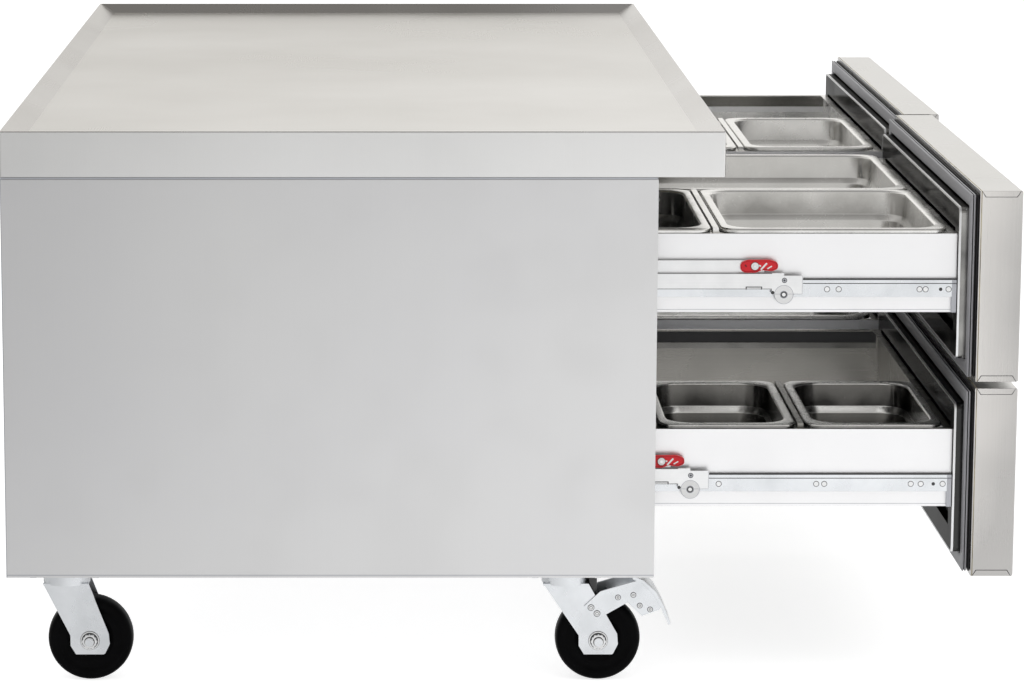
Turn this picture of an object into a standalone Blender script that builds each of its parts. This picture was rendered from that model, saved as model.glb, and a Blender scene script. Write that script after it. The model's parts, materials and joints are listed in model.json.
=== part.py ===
"""A refrigerated chef base on casters, with its four drawers drawn out.

Metres, +Z up. The drawers face -Y, and left and right are as the cook in front of them sees it.
The origin lies on the floor, under the middle of the box that the drawn-out object fills.
"""

import math

import bmesh
import bpy
from mathutils import Matrix, Vector

# Overall sizes: the width follows from the pans and the machine bay
HEIGHT = 0.667
CABINET_DEPTH = 0.761
TOP_OVERHANG = 0.077
BAY_WIDTH = 0.1218

# Sheets, and the room between pieces
SHEET = 0.0012
CLEARANCE = 0.0003
OVERLAP = 0.0005
OVERRUN = 0.005

# Worktop with a raised rim
SKIRT_HEIGHT = 0.053
TOP_GAP = 0.003
RIDGE_HEIGHT = 0.0127
RIDGE_RUN = 0.026
TOP_SHEET = 0.0015
RETURN_FLANGE = 0.015

# Insulated walls
SIDE_WALL = 0.0202
BACK_WALL = 0.030
FLOOR_WALL = 0.021
CEILING_DROP = 0.014
PARTITION = 0.0322
FRAME_DEPTH = 0.025

# Hanging pans
PAN_WIDTH = 0.325
PAN_LENGTH = 0.530
THIRD_LENGTH = 0.176
QUARTER_LENGTH = 0.162
PAN_DEPTH = 0.100
PAN_SHEET = 0.0008
PAN_PLAY = 0.0005
PAN_END_PLAY = 0.0105
RIM_WIDTH = 0.011
RIM_SKIRT = 0.0052
RIM_CORNER = 0.022
BODY_CORNER = 0.030
PAN_STEP = 0.004
CORNER_STEPS = 3

# Drawer frames
SLIDE_SPACE = 0.0133
POST_WIDTH = 0.0424
WALL_SHEET = 0.0015
WALL_HEIGHT = 0.093
WALL_LIFT_SHARE = 0.6687
LEDGE = 0.0095
BAR_GAP = 0.011
BAR_HEIGHT = 0.010
CROSS_SHEET = 0.0015
RIB_WIDTH = 0.007

# Drawer fronts
FRONT_THICK = 0.050
FRONT_GAP = 0.008
BOTTOM_REVEAL = 0.0015
TOP_REVEAL = 0.0165
FRONT_ROUND = 0.002
GASKET_THICK = 0.0094
GASKET_EDGE = 0.004
PLUG_EDGE = 0.0225
PLUG_DEPTH = 0.010
PLUG_BORDER = 0.028
PLUG_RECESS = 0.006
PLUG_FIT = 0.001
PULL_WIDTH = 0.160
PULL_HEIGHT = 0.042
PULL_DEPTH = 0.024
PULL_DROP = 0.022
PULL_LIP = 0.004
PULL_LIP_DROP = 0.012
FOAMING_HOLE = 0.003

# How far the drawers stand open
LEFT_OPEN = 0.3620
RIGHT_OPEN = 0.3715

# Telescopic slides, placed down from the top of a drawer's frame
RAIL_DROP = 0.074
RAIL_HEIGHT = 0.020
RAIL_SIDE = 0.0051
PLATE_SIDE = 0.0015
FIXED_REAR = 0.150
FIXED_SETBACK = 0.0015
FIXED_HEIGHT = 0.058
MIDDLE_LENGTH = 0.556
MIDDLE_SIDE = 0.0058
MIDDLE_SHARE = 0.5
MIDDLE_DROP = 0.064
MIDDLE_HEIGHT = 0.019
CHANNEL_HEIGHT = 0.0145
CHANNEL_SIDE = 0.0017
CHANNEL_SETBACK = 0.045
MIDDLE_SETBACK = 0.010
LOWER_SETBACK = 0.106
END_PLATE_LENGTH = 0.036
END_PLATE_DROP = 0.006
END_PLATE_SIDE = 0.0016
ROLLER_RADIUS = 0.012
ROLLER_SETBACK = 0.022
ROLLER_DROP = 0.0695
POST_DEPTH = 0.040
POST_REAR = 0.200
POST_SETBACK = 0.031

# Red release levers on the slides
LEVER_LENGTH = 0.044
LEVER_HEIGHT = 0.015
LEVER_TAIL_SHARE = 0.39
LEVER_SETBACK = 0.0560
LEVER_DROP = 0.037
LEVER_PIN = 0.0020
LEVER_FLANGE = 0.0008
LEVER_POCKET = 0.0035
LEVER_ROOM = 0.003
LEVER_SHARES = (
    (0.0, 0.23), (0.11, 0.0), (0.43, 0.0), (0.57, 0.2), (0.84, 0.1), (1.0, 0.3),
    (1.0, 0.77), (0.80, 1.0), (0.2, 1.0), (0.02, 0.77),
)

# Machine bay
GRILLE_GAP = 0.004
GRILLE_EDGE = 0.003
LOUVRE_PITCH = 0.022
LOUVRE_HEIGHT = 0.008
LOUVRE_MARGIN = 0.016
LOUVRE_START = 0.035
LOUVRE_END = 0.053
CONTROL_INSET = 0.0219
CONTROL_HEIGHT = 0.036
CONTROL_DROP = 0.035
CONTROL_DEPTH = 0.050
CONTROL_FLANGE = 0.006
COIL_ROOM = 0.0069
COIL_HEIGHT = 0.340
COIL_DEPTH = 0.045
COIL_SETBACK = 0.020
COIL_GROOVES = 8
COIL_GROOVE = 0.006
COIL_GROOVE_DEPTH = 0.008
SHROUD_DEPTH = 0.034
SHROUD_WALL = 0.003
FAN_ROOM = 0.003
FAN_HUB = 0.014
FAN_BLADES = 5
FAN_DEPTH = 0.020
FAN_SHAFT = 0.003
BLADE_SHEET = 0.0018
BLADE_PITCH = math.radians(32)
COMPRESSOR_HEIGHT = 0.205
COMPRESSOR_SETBACK = 0.261
COMPRESSOR_ROOM = 0.0049
CAN_INSET = 0.006
CAN_BASE_SHARE = 0.9
FOOT_SHEET = 0.003
TUBE_RADIUS = 0.004
TUBE_LENGTH = 0.030
GLAND_RADIUS = 0.008
GLAND_BORE_SHARE = 0.6
GLAND_FLANGE = 0.012
GLAND_LENGTH = 0.014
GLAND_PLACE = 0.260

# Evaporator behind the right-hand drawers
EVAPORATOR_INSET = 0.026
EVAPORATOR_HEIGHT = 0.210
EVAPORATOR_DEPTH = 0.120
EVAPORATOR_DROP = 0.030
EVAPORATOR_FAN_RADIUS = 0.070
EVAPORATOR_POCKET = 0.045

# Casters
WHEEL_RADIUS = 0.0508
WHEEL_WIDTH = 0.032
HUB_RADIUS = 0.015
HUB_PROUD = 0.0015
TREAD_ROUND = 0.006
TYRE_DISH = 0.003
AXLE_RADIUS = 0.005
AXLE_HEAD = 0.009
AXLE_HALF = 0.031
LEG_GAP = 0.018
LEG_SHEET = 0.003
LEG_HALF_TOP = 0.027
LEG_BOSS = 0.024
LEG_BOSS_FROM = math.radians(165)
LEG_BOSS_TO = math.radians(380)
LEG_BOSS_STEPS = 7
WHEEL_ROOM = 0.0152
BRIDGE_SHEET = 0.0035
CUP_HEIGHT = 0.010
CUP_RADIUS = 0.028
RACE_RADIUS = 0.034
RACE_HEIGHT = 0.0054
PLATE_SHEET = 0.003
PLATE_LENGTH = 0.095
PLATE_WIDTH = 0.085
BOLT_SPACING = 0.074
BOLT_SPACING_ACROSS = 0.064
BOLT_RADIUS = 0.0065
BOLT_HEAD = 0.0045
CASTER_INSET = 0.066
REAR_SWIVEL = 0.066
FRONT_SWIVEL = 0.101
REAR_TRAIL = 0.028
FRONT_TRAIL = 0.039
ROUND_SIDES = 20
SMALL_SIDES = 12
WHEEL_STEPS = 28

# Brake pedals of the front casters, placed from the axle
PEDAL_BACK = 0.009
PEDAL_UP = 0.041
PEDAL_PIN = 0.003
PEDAL_SHEET = 0.002
PEDAL_REACH = 0.086
PEDAL_TOP = 0.076
CHEEK_SHARES = (
    (-0.20, 0.56), (-0.12, 0.42), (0.02, 0.37), (0.40, 0.62), (0.60, 0.40),
    (0.84, 0.50), (0.87, 0.56), (0.82, 0.66), (0.70, 0.84), (0.55, 0.98), (0.02, 0.80),
)
TREAD_SHARES = (
    (0.46, 1.0), (0.60, 0.93), (0.75, 0.76), (0.86, 0.54), (0.97, 0.26),
    (1.0, 0.29), (0.90, 0.57), (0.79, 0.80), (0.62, 0.98), (0.47, 1.05),
)
TREAD_HALF = 0.025

# Places and sizes that follow from the sizes above
BRIDGE_TOP = 2 * WHEEL_RADIUS + WHEEL_ROOM + BRIDGE_SHEET
LEG_TOP = BRIDGE_TOP - WHEEL_RADIUS
RACE_BOTTOM = BRIDGE_TOP + CUP_HEIGHT
CASTER_HEIGHT = RACE_BOTTOM + RACE_HEIGHT + PLATE_SHEET + CLEARANCE
TOP_DEPTH = CABINET_DEPTH + TOP_OVERHANG
CHAMBER_FLOOR = CASTER_HEIGHT + FLOOR_WALL
SKIRT_BOTTOM = HEIGHT - SKIRT_HEIGHT
SHELL_TOP = SKIRT_BOTTOM - TOP_GAP
CHAMBER_CEILING = SKIRT_BOTTOM - CEILING_DROP
TOP_FLAT = HEIGHT - RIDGE_HEIGHT
BOX_WIDTH = 2 * (PAN_WIDTH + 2 * PAN_PLAY)
BOX_LENGTH = PAN_LENGTH + 2 * PAN_END_PLAY + BAR_GAP
COLUMN_PITCH = BOX_WIDTH + 2 * SLIDE_SPACE + POST_WIDTH
CHAMBER_RIGHT = SIDE_WALL + COLUMN_PITCH + BOX_WIDTH + 2 * SLIDE_SPACE
BAY_LEFT = CHAMBER_RIGHT + PARTITION
BAY_MIDDLE = BAY_LEFT + BAY_WIDTH / 2
WIDTH = BAY_LEFT + BAY_WIDTH + SHEET
FRONT_WIDTH = COLUMN_PITCH - FRONT_GAP
FRONT_BOTTOM = CASTER_HEIGHT + BOTTOM_REVEAL
FRONT_TOP = SKIRT_BOTTOM - TOP_REVEAL
FRONT_HEIGHT = (FRONT_TOP - FRONT_BOTTOM - FRONT_GAP) / 2
OPENING_EDGE = PLUG_EDGE - PLUG_FIT
WALL_SPARE = FRONT_HEIGHT - 2 * OPENING_EDGE - WALL_HEIGHT - CLEARANCE - RIM_SKIRT
WALL_TOP = OPENING_EDGE + WALL_LIFT_SHARE * WALL_SPARE + WALL_HEIGHT
RAIL_BOTTOM = WALL_TOP - RAIL_DROP
MIDDLE_BOTTOM = WALL_TOP - MIDDLE_DROP
ROLLER_HEIGHT = WALL_TOP - ROLLER_DROP
LEVER_UP = WALL_TOP - LEVER_DROP
POST_FRONT = CABINET_DEPTH - POST_SETBACK - POST_DEPTH
COIL_WIDTH = BAY_WIDTH - 2 * COIL_ROOM
CONDENSER_FAN_RADIUS = COIL_WIDTH / 2 - SHROUD_WALL - FAN_ROOM
CONTROL_WIDTH = BAY_WIDTH - 2 * CONTROL_INSET
COMPRESSOR_PLACE = CABINET_DEPTH - COMPRESSOR_SETBACK
COMPRESSOR_FOOT = BAY_WIDTH - 2 * COMPRESSOR_ROOM
COMPRESSOR_RADIUS = COMPRESSOR_FOOT / 2 - CAN_INSET
EVAPORATOR_WIDTH = BOX_WIDTH - 2 * EVAPORATOR_INSET
GASKET_PLANE = CABINET_DEPTH + CLEARANCE
FRONT_BACK = GASKET_PLANE + GASKET_THICK + CLEARANCE
CLOSED_FACE = FRONT_BACK + FRONT_THICK
PLUG_BACK = CABINET_DEPTH - PLUG_DEPTH
BOX_FRONT = PLUG_BACK - CLEARANCE
BOX_BACK = BOX_FRONT - BOX_LENGTH
BACK_Y = (CLOSED_FACE + max(LEFT_OPEN, RIGHT_OPEN)) / 2
RAIL_GAP = CLEARANCE + PLATE_SIDE
MIDDLE_NEAR = RAIL_GAP + CLEARANCE
MIDDLE_FAR = MIDDLE_NEAR + MIDDLE_SIDE

# Finishes: colour, metallic and roughness
FINISHES = {
    "brushed": ((0.62, 0.62, 0.61), 1.0, 0.34),
    "pan": ((0.72, 0.71, 0.69), 1.0, 0.22),
    "zinc": ((0.70, 0.72, 0.76), 1.0, 0.30),
    "white": ((0.86, 0.87, 0.87), 0.0, 0.45),
    "liner": ((0.55, 0.56, 0.56), 0.6, 0.42),
    "foam": ((0.62, 0.55, 0.36), 0.0, 0.90),
    "gasket": ((0.06, 0.06, 0.065), 0.0, 0.60),
    "tyre": ((0.012, 0.012, 0.013), 0.0, 0.42),
    "red": ((0.62, 0.02, 0.03), 0.0, 0.35),
    "black": ((0.02, 0.02, 0.02), 0.0, 0.40),
    "aluminium": ((0.66, 0.67, 0.68), 1.0, 0.38),
}

# The four drawers: column from the left and storey from below
DRAWERS = {
    "upper_left": {"column": 0, "storey": 1},
    "upper_right": {"column": 1, "storey": 1},
    "lower_left": {"column": 0, "storey": 0},
    "lower_right": {"column": 1, "storey": 0},
}
SIDES = ("left", "right")


def at(across, deep, up):
    """The world point that lies across from the left side, deep from the back and up from the floor."""
    return Vector((across - WIDTH / 2, BACK_Y - deep, up))


def start_scene():
    """Clears the scene and returns the collections for the parts and for their cutters."""
    for old in list(bpy.data.objects):
        bpy.data.objects.remove(old, do_unlink=True)
    parts = bpy.data.collections.new("refrigerated_chef_base")
    cutters = bpy.data.collections.new("cutters")
    for collection in (parts, cutters):
        bpy.context.scene.collection.children.link(collection)
    return parts, cutters


def block(across, deep, up):
    """A box between two places in each direction."""
    low = at(across[0], deep[1], up[0])
    high = at(across[1], deep[0], up[1])
    shape = bmesh.new()
    stretch = Matrix.Diagonal((*(high - low), 1))
    bmesh.ops.create_cube(shape, size=1, matrix=Matrix.Translation((low + high) / 2) @ stretch)
    return shape


def rod(start, end, radius, sides=SMALL_SIDES):
    """A round bar between two world points."""
    along = end - start
    turn = along.to_track_quat("Z", "Y").to_matrix().to_4x4()
    shape = bmesh.new()
    bmesh.ops.create_cone(
        shape,
        cap_ends=True,
        segments=sides,
        radius1=radius,
        radius2=radius,
        depth=along.length,
        matrix=Matrix.Translation((start + end) / 2) @ turn,
    )
    return shape


def evaluated_shape(maker):
    """The mesh of an object with its modifiers or bevel applied, in world space. The object goes."""
    bpy.context.scene.collection.objects.link(maker)
    bpy.context.view_layer.update()
    mesh = bpy.data.meshes.new_from_object(maker.evaluated_get(bpy.context.evaluated_depsgraph_get()))
    mesh.transform(maker.matrix_world)
    shape = bmesh.new()
    shape.from_mesh(mesh)
    bmesh.ops.remove_doubles(shape, verts=shape.verts, dist=CLEARANCE / 100)
    bpy.data.objects.remove(maker, do_unlink=True)
    return shape


def flat_plate(outline, thickness, centre):
    """A flat outline of forward and upward points, standing in the side view, with a thickness across."""
    curve = bpy.data.curves.new("outline", "CURVE")
    curve.dimensions = "2D"
    curve.fill_mode = "BOTH"
    curve.extrude = thickness / 2
    spline = curve.splines.new("POLY")
    spline.points.add(len(outline) - 1)
    for point, (forward, up) in zip(spline.points, outline):
        point.co = (forward, up, 0, 1)
    spline.use_cyclic_u = True
    maker = bpy.data.objects.new("outline", curve)
    maker.matrix_world = Matrix(((0, 0, -1, centre.x), (-1, 0, 0, centre.y), (0, 1, 0, centre.z), (0, 0, 0, 1)))
    return evaluated_shape(maker)


def turned(profile, centre, axis, steps=ROUND_SIDES, closed=False):
    """A turned shape: radius and height points, top to bottom on the outer side, about an axis."""
    mesh = bpy.data.meshes.new("profile")
    edges = [(i, i + 1) for i in range(len(profile) - 1)]
    if closed:
        edges.append((len(profile) - 1, 0))
    mesh.from_pydata([(radius, 0, height) for radius, height in profile], edges, [])
    maker = bpy.data.objects.new("profile", mesh)
    screw = maker.modifiers.new("turn", "SCREW")
    screw.steps = steps
    screw.render_steps = steps
    screw.use_merge_vertices = True
    screw.merge_threshold = CLEARANCE / 10
    maker.matrix_world = Matrix.Translation(centre) @ axis.to_track_quat("Z", "Y").to_matrix().to_4x4()
    return evaluated_shape(maker)


def merged(shapes):
    """One mesh that holds all the shapes."""
    mesh = bpy.data.meshes.new("shapes")
    whole = bmesh.new()
    for shape in shapes:
        shape.to_mesh(mesh)
        whole.from_mesh(mesh)
        shape.free()
    whole.to_mesh(mesh)
    whole.free()
    return mesh


def coat(obj, finish):
    """Gives the object a material of its own in one of the finishes."""
    colour, metallic, roughness = FINISHES[finish]
    material = bpy.data.materials.new(obj.name)
    material.use_nodes = True
    shader = material.node_tree.nodes["Principled BSDF"]
    shader.inputs["Base Color"].default_value = (*colour, 1)
    shader.inputs["Metallic"].default_value = metallic
    shader.inputs["Roughness"].default_value = roughness
    obj.data.materials.append(material)


def solid(name, base, steps=(), finish="brushed", origin=None, smooth=False):
    """A part: a base shape, joined with or cut by further shapes in order, with its origin at a point."""
    mesh = merged([base])
    origin = origin or Vector()
    mesh.transform(Matrix.Translation(-origin))
    if smooth:
        mesh.shade_smooth()
        mesh.set_sharp_from_angle(angle=math.radians(35))
    part = bpy.data.objects.new(name, mesh)
    part.location = origin
    PARTS.objects.link(part)
    for number, (operation, shapes) in enumerate(steps):
        helper = bpy.data.objects.new(f"{name}_{operation.lower()}_{number}", merged(shapes))
        helper.hide_render = True
        helper.display_type = "WIRE"
        CUTTERS.objects.link(helper)
        boolean = part.modifiers.new(operation.title(), "BOOLEAN")
        boolean.operation = operation
        boolean.object = helper
        boolean.solver = "EXACT"
        boolean.use_self = len(shapes) > 1
    coat(part, finish)
    return part


def grown(span, by):
    """A span between two places, made longer at both ends."""
    return (span[0] - by, span[1] + by)


def make_worktop():
    """The steel top: a flat field inside a raised rim, with a skirt and a hollow underside."""
    shape = block((0, WIDTH), (0, TOP_DEPTH), (SKIRT_BOTTOM, HEIGHT))
    top = max(shape.faces, key=lambda face: face.calc_center_median().z)
    bmesh.ops.inset_region(shape, faces=[top], thickness=RIDGE_RUN, use_even_offset=True)
    bmesh.ops.translate(shape, verts=top.verts, vec=(0, 0, -RIDGE_HEIGHT))
    hollow = block(
        (TOP_SHEET, WIDTH - TOP_SHEET),
        (TOP_SHEET, TOP_DEPTH - TOP_SHEET),
        (SKIRT_BOTTOM - OVERRUN, TOP_FLAT - TOP_SHEET),
    )
    flange = block(
        (TOP_SHEET / 2, WIDTH - TOP_SHEET / 2),
        (TOP_DEPTH - RETURN_FLANGE, TOP_DEPTH - TOP_SHEET / 2),
        (SKIRT_BOTTOM + CLEARANCE, SKIRT_BOTTOM + TOP_SHEET),
    )
    solid("worktop", shape, [("DIFFERENCE", [hollow]), ("UNION", [flange])])


def make_outer_shell():
    """The steel skin of the cabinet: sides, back, base sheet and the wall of the machine bay."""
    base = CASTER_HEIGHT + SHEET
    room_deep = (SHEET, CABINET_DEPTH + OVERRUN)
    room_up = (base, SHELL_TOP + OVERRUN)
    chamber_room = block((SHEET, BAY_LEFT - SHEET), room_deep, room_up)
    bay_room = block((BAY_LEFT, WIDTH - SHEET), room_deep, room_up)
    gland_hole = rod(
        at(BAY_MIDDLE, GLAND_PLACE, CASTER_HEIGHT - OVERRUN),
        at(BAY_MIDDLE, GLAND_PLACE, base + OVERRUN),
        GLAND_RADIUS + CLEARANCE,
    )
    shape = block((0, WIDTH), (0, CABINET_DEPTH), (CASTER_HEIGHT, SHELL_TOP))
    solid("outer_shell", shape, [("DIFFERENCE", [chamber_room, bay_room, gland_hole])])


def make_insulation():
    """The foam between the outer skin and the cold chamber, up to the worktop."""
    side = TOP_SHEET + CLEARANCE
    shape = block(
        (side, BAY_LEFT - SHEET - CLEARANCE),
        (side, CABINET_DEPTH - SHEET - CLEARANCE),
        (CASTER_HEIGHT + SHEET + CLEARANCE, TOP_FLAT - TOP_SHEET - CLEARANCE),
    )
    room = block(
        grown((SIDE_WALL, CHAMBER_RIGHT), SHEET + CLEARANCE),
        (BACK_WALL - SHEET - CLEARANCE, CABINET_DEPTH + OVERRUN),
        grown((CHAMBER_FLOOR, CHAMBER_CEILING), SHEET + CLEARANCE),
    )
    solid("foam_insulation", shape, [("DIFFERENCE", [room])], finish="foam")


def make_liner():
    """The bright lining of the cold chamber, open at the front."""
    end = CABINET_DEPTH - SHEET - CLEARANCE
    shape = block(
        grown((SIDE_WALL, CHAMBER_RIGHT), SHEET),
        (BACK_WALL - SHEET, end),
        grown((CHAMBER_FLOOR, CHAMBER_CEILING), SHEET),
    )
    room = block((SIDE_WALL, CHAMBER_RIGHT), (BACK_WALL, end + OVERRUN), (CHAMBER_FLOOR, CHAMBER_CEILING))
    solid("inner_liner", shape, [("DIFFERENCE", [room])], finish="liner")


def column_left(column):
    """Where the room for a column of drawers starts, across."""
    return SIDE_WALL + column * COLUMN_PITCH


def front_bottom(storey):
    """The height of the lower edge of a storey's drawer fronts."""
    return FRONT_BOTTOM + storey * (FRONT_HEIGHT + FRONT_GAP)


def opening_up(storey):
    """The height range of the cabinet's opening for a storey."""
    bottom = front_bottom(storey)
    return (bottom + OPENING_EDGE, bottom + FRONT_HEIGHT - OPENING_EDGE)


def make_front_frame():
    """The face frame that the gaskets close on, with its post and rail between the drawers."""
    plate_deep = (CABINET_DEPTH - SHEET, CABINET_DEPTH)
    bar_deep = (CABINET_DEPTH - FRAME_DEPTH, CABINET_DEPTH - OVERLAP)
    shape = block(
        (SHEET + CLEARANCE, BAY_LEFT - SHEET - CLEARANCE),
        plate_deep,
        (CASTER_HEIGHT + SHEET + CLEARANCE, SHELL_TOP - CLEARANCE),
    )
    openings = []
    for column in range(2):
        left = column_left(column)
        for storey in range(2):
            across = (left, left + BOX_WIDTH + 2 * SLIDE_SPACE)
            openings.append(block(across, grown(plate_deep, OVERRUN), opening_up(storey)))
    post_left = SIDE_WALL + BOX_WIDTH + 2 * SLIDE_SPACE
    post = block(
        grown((post_left, post_left + POST_WIDTH), -CLEARANCE - OVERLAP),
        bar_deep,
        grown((CHAMBER_FLOOR, CHAMBER_CEILING), -CLEARANCE),
    )
    rail = block(
        grown((SIDE_WALL, CHAMBER_RIGHT), -CLEARANCE),
        bar_deep,
        grown((opening_up(0)[1], opening_up(1)[0]), -CLEARANCE),
    )
    solid("front_frame", shape, [("DIFFERENCE", openings), ("UNION", [post, rail])])


def offset(face, toward, near, far):
    """A span across, measured from a face of the cabinet towards the drawer."""
    return tuple(sorted((face + toward * near, face + toward * far)))


def fixed_rails(face, toward, near):
    """The two fixed rails on one face: a plate and the lip that the rollers run on."""
    shapes = []
    deep = (FIXED_REAR, PLUG_BACK - FIXED_SETBACK)
    for storey in range(2):
        lip_top = front_bottom(storey) + ROLLER_HEIGHT - ROLLER_RADIUS - CLEARANCE
        lip_bottom = lip_top - WALL_SHEET
        shapes.append(block(offset(face, toward, near, RAIL_GAP), deep, (lip_bottom, lip_bottom + FIXED_HEIGHT)))
        shapes.append(block(offset(face, toward, near, MIDDLE_FAR), deep, (lip_bottom, lip_top)))
    return shapes


def make_slide_carriers():
    """The posts inside the chamber with the fixed rails of the slides."""
    up = grown((CHAMBER_FLOOR, CHAMBER_CEILING), -CLEARANCE)
    posts = [(POST_REAR, POST_REAR + POST_DEPTH), (POST_FRONT, POST_FRONT + POST_DEPTH)]
    for name, face, toward in (("left", SIDE_WALL, 1), ("right", CHAMBER_RIGHT, -1)):
        across = offset(face, toward, CLEARANCE, RAIL_GAP)
        shapes = [block(across, posts[1], up)] + fixed_rails(face, toward, CLEARANCE)
        base = block(across, posts[0], up)
        solid(f"slide_carrier_{name}", base, [("UNION", shapes)], finish="zinc")
    left_face = SIDE_WALL + BOX_WIDTH + 2 * SLIDE_SPACE
    right_face = left_face + POST_WIDTH
    shapes = [block((left_face, right_face), posts[1], up)]
    shapes += fixed_rails(left_face, -1, -OVERLAP)
    shapes += fixed_rails(right_face, 1, -OVERLAP)
    base = block((left_face, right_face), posts[0], up)
    solid("slide_carrier_centre", base, [("UNION", shapes)], finish="zinc")


def drawer_open(drawer):
    """How far a drawer stands open."""
    return (LEFT_OPEN, RIGHT_OPEN)[drawer["column"]]


def moved(span, by):
    """A span shifted along."""
    return (span[0] + by, span[1] + by)


def make_drawer_front(name, drawer):
    """An insulated front: a skin with a sunk pull, and a plug with a recessed panel behind."""
    bottom = front_bottom(drawer["storey"])
    left = column_left(drawer["column"]) + SLIDE_SPACE + BOX_WIDTH / 2 - FRONT_WIDTH / 2
    across = (left, left + FRONT_WIDTH)
    up = (bottom, bottom + FRONT_HEIGHT)
    opened = drawer_open(drawer)
    face = CLOSED_FACE + opened
    skin = block(across, (FRONT_BACK + opened, face), up)
    front_face = min(skin.faces, key=lambda side: side.calc_center_median().y)
    bmesh.ops.bevel(
        skin, geom=list(front_face.edges), offset=FRONT_ROUND, segments=2, profile=0.5, affect="EDGES", material=-1
    )
    plug = block(grown(across, -PLUG_EDGE), (PLUG_BACK + opened, FRONT_BACK + OVERLAP + opened), grown(up, -PLUG_EDGE))
    recess = block(
        grown(across, -PLUG_EDGE - PLUG_BORDER),
        (PLUG_BACK - OVERRUN + opened, PLUG_BACK + PLUG_RECESS + opened),
        grown(up, -PLUG_EDGE - PLUG_BORDER),
    )
    middle = (across[0] + across[1]) / 2
    pull_across = (middle - PULL_WIDTH / 2, middle + PULL_WIDTH / 2)
    pull_up = (up[1] - PULL_DROP - PULL_HEIGHT, up[1] - PULL_DROP)
    pull = block(pull_across, (face - PULL_DEPTH, face + OVERRUN), pull_up)
    pull_box = block(
        grown(pull_across, SHEET),
        (face - PULL_DEPTH - SHEET, face - SHEET / 2),
        grown(pull_up, SHEET),
    )
    lip = block(
        grown(pull_across, OVERLAP),
        (face - PULL_LIP, face - FRONT_ROUND),
        (pull_up[1] - PULL_LIP_DROP, pull_up[1] + OVERLAP),
    )
    hollows = [
        block(grown(across, -SHEET), (FRONT_BACK + SHEET + opened, face - SHEET), grown(up, -SHEET)),
        block(
            grown(across, -PLUG_EDGE - SHEET),
            (PLUG_BACK + PLUG_RECESS + SHEET + opened, FRONT_BACK + 2 * SHEET + opened),
            grown(up, -PLUG_EDGE - SHEET),
        ),
        foaming_hole(across, up, opened),
    ]
    steps = [
        ("UNION", [plug]),
        ("DIFFERENCE", hollows),
        ("UNION", [pull_box]),
        ("DIFFERENCE", [recess]),
        ("DIFFERENCE", [pull]),
        ("UNION", [lip]),
    ]
    solid(f"{name}_drawer_front", skin, steps)


def foaming_hole(across, up, opened):
    """The hole under the gasket through which a hollow front is filled with foam."""
    place = across[0] + (GASKET_EDGE + PLUG_EDGE) / 2
    middle = (up[0] + up[1]) / 2
    start = at(place, FRONT_BACK - GASKET_THICK + opened, middle)
    return rod(start, at(place, FRONT_BACK + 2 * SHEET + opened, middle), FOAMING_HOLE)


def make_gasket(name, drawer):
    """The soft seal round the plug."""
    bottom = front_bottom(drawer["storey"])
    left = column_left(drawer["column"]) + SLIDE_SPACE + BOX_WIDTH / 2 - FRONT_WIDTH / 2
    across = (left, left + FRONT_WIDTH)
    up = (bottom, bottom + FRONT_HEIGHT)
    deep = moved((GASKET_PLANE, GASKET_PLANE + GASKET_THICK), drawer_open(drawer))
    ring = block(grown(across, -GASKET_EDGE), deep, grown(up, -GASKET_EDGE))
    inside = CLEARANCE - PLUG_EDGE
    hole = block(grown(across, inside), grown(deep, OVERRUN), grown(up, inside))
    solid(f"{name}_drawer_gasket", ring, [("DIFFERENCE", [hole])], finish="gasket")


def bars_of(name):
    """The lengthwise bar's place across, and the cross bars' places behind the first pan edge."""
    if name == "lower_left":
        return PAN_PLAY + PAN_LENGTH / 2, [QUARTER_LENGTH + BAR_GAP / 2, 2 * QUARTER_LENGTH + 3 * BAR_GAP / 2]
    if name == "upper_left":
        return BOX_WIDTH / 2, [PAN_LENGTH / 2 + BAR_GAP / 2]
    if name == "upper_right":
        return BOX_WIDTH / 2, [THIRD_LENGTH + BAR_GAP / 2, 2 * THIRD_LENGTH + 3 * BAR_GAP / 2]
    return BOX_WIDTH / 2, []


def make_drawer_box(name, drawer):
    """The open frame that the pans hang in, with its ledge, bars and the slides' inner members."""
    opened = drawer_open(drawer)
    bottom = front_bottom(drawer["storey"])
    top = bottom + WALL_TOP
    left = column_left(drawer["column"]) + SLIDE_SPACE
    across = (left, left + BOX_WIDTH)
    deep = moved((BOX_BACK, BOX_FRONT), opened)
    up = (top - WALL_HEIGHT, top)
    frame = block(across, deep, up)
    room = block(grown(across, -WALL_SHEET), grown(deep, -WALL_SHEET), (up[0] - OVERRUN, top - WALL_SHEET))
    mouth = block(grown(across, -LEDGE), grown(deep, -LEDGE), (up[0], top + OVERRUN))
    shapes = []
    bar_place, cross_places = bars_of(name)
    half_bar = LEDGE
    bar_across = (left + bar_place - half_bar, left + bar_place + half_bar)
    bar_up = (top - BAR_HEIGHT, top - OVERLAP)
    shapes.append(block(bar_across, grown(deep, -OVERLAP), bar_up))
    for place in cross_places:
        middle = deep[1] - PAN_END_PLAY - place
        half = BAR_GAP / 2 + LEDGE
        cross = (left + OVERLAP, left + bar_place)
        shapes.append(block(cross, (middle - half, middle + half), (top - CROSS_SHEET - OVERLAP, top - OVERLAP)))
        rib = (left + LEDGE, left + bar_place)
        shapes.append(block(rib, (middle - RIB_WIDTH / 2, middle + RIB_WIDTH / 2), (top - BAR_HEIGHT, top + RIM_SKIRT)))
    rail_up = (bottom + RAIL_BOTTOM, bottom + RAIL_BOTTOM + RAIL_HEIGHT)
    for outer, toward in ((across[0], -1), (across[1], 1)):
        shapes.append(block(offset(outer, toward, -OVERLAP, RAIL_SIDE), grown(deep, -OVERLAP), rail_up))
    steps = [("DIFFERENCE", [room]), ("DIFFERENCE", [mouth]), ("UNION", shapes)]
    solid(f"{name}_drawer_box", frame, steps, finish="white")


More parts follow.
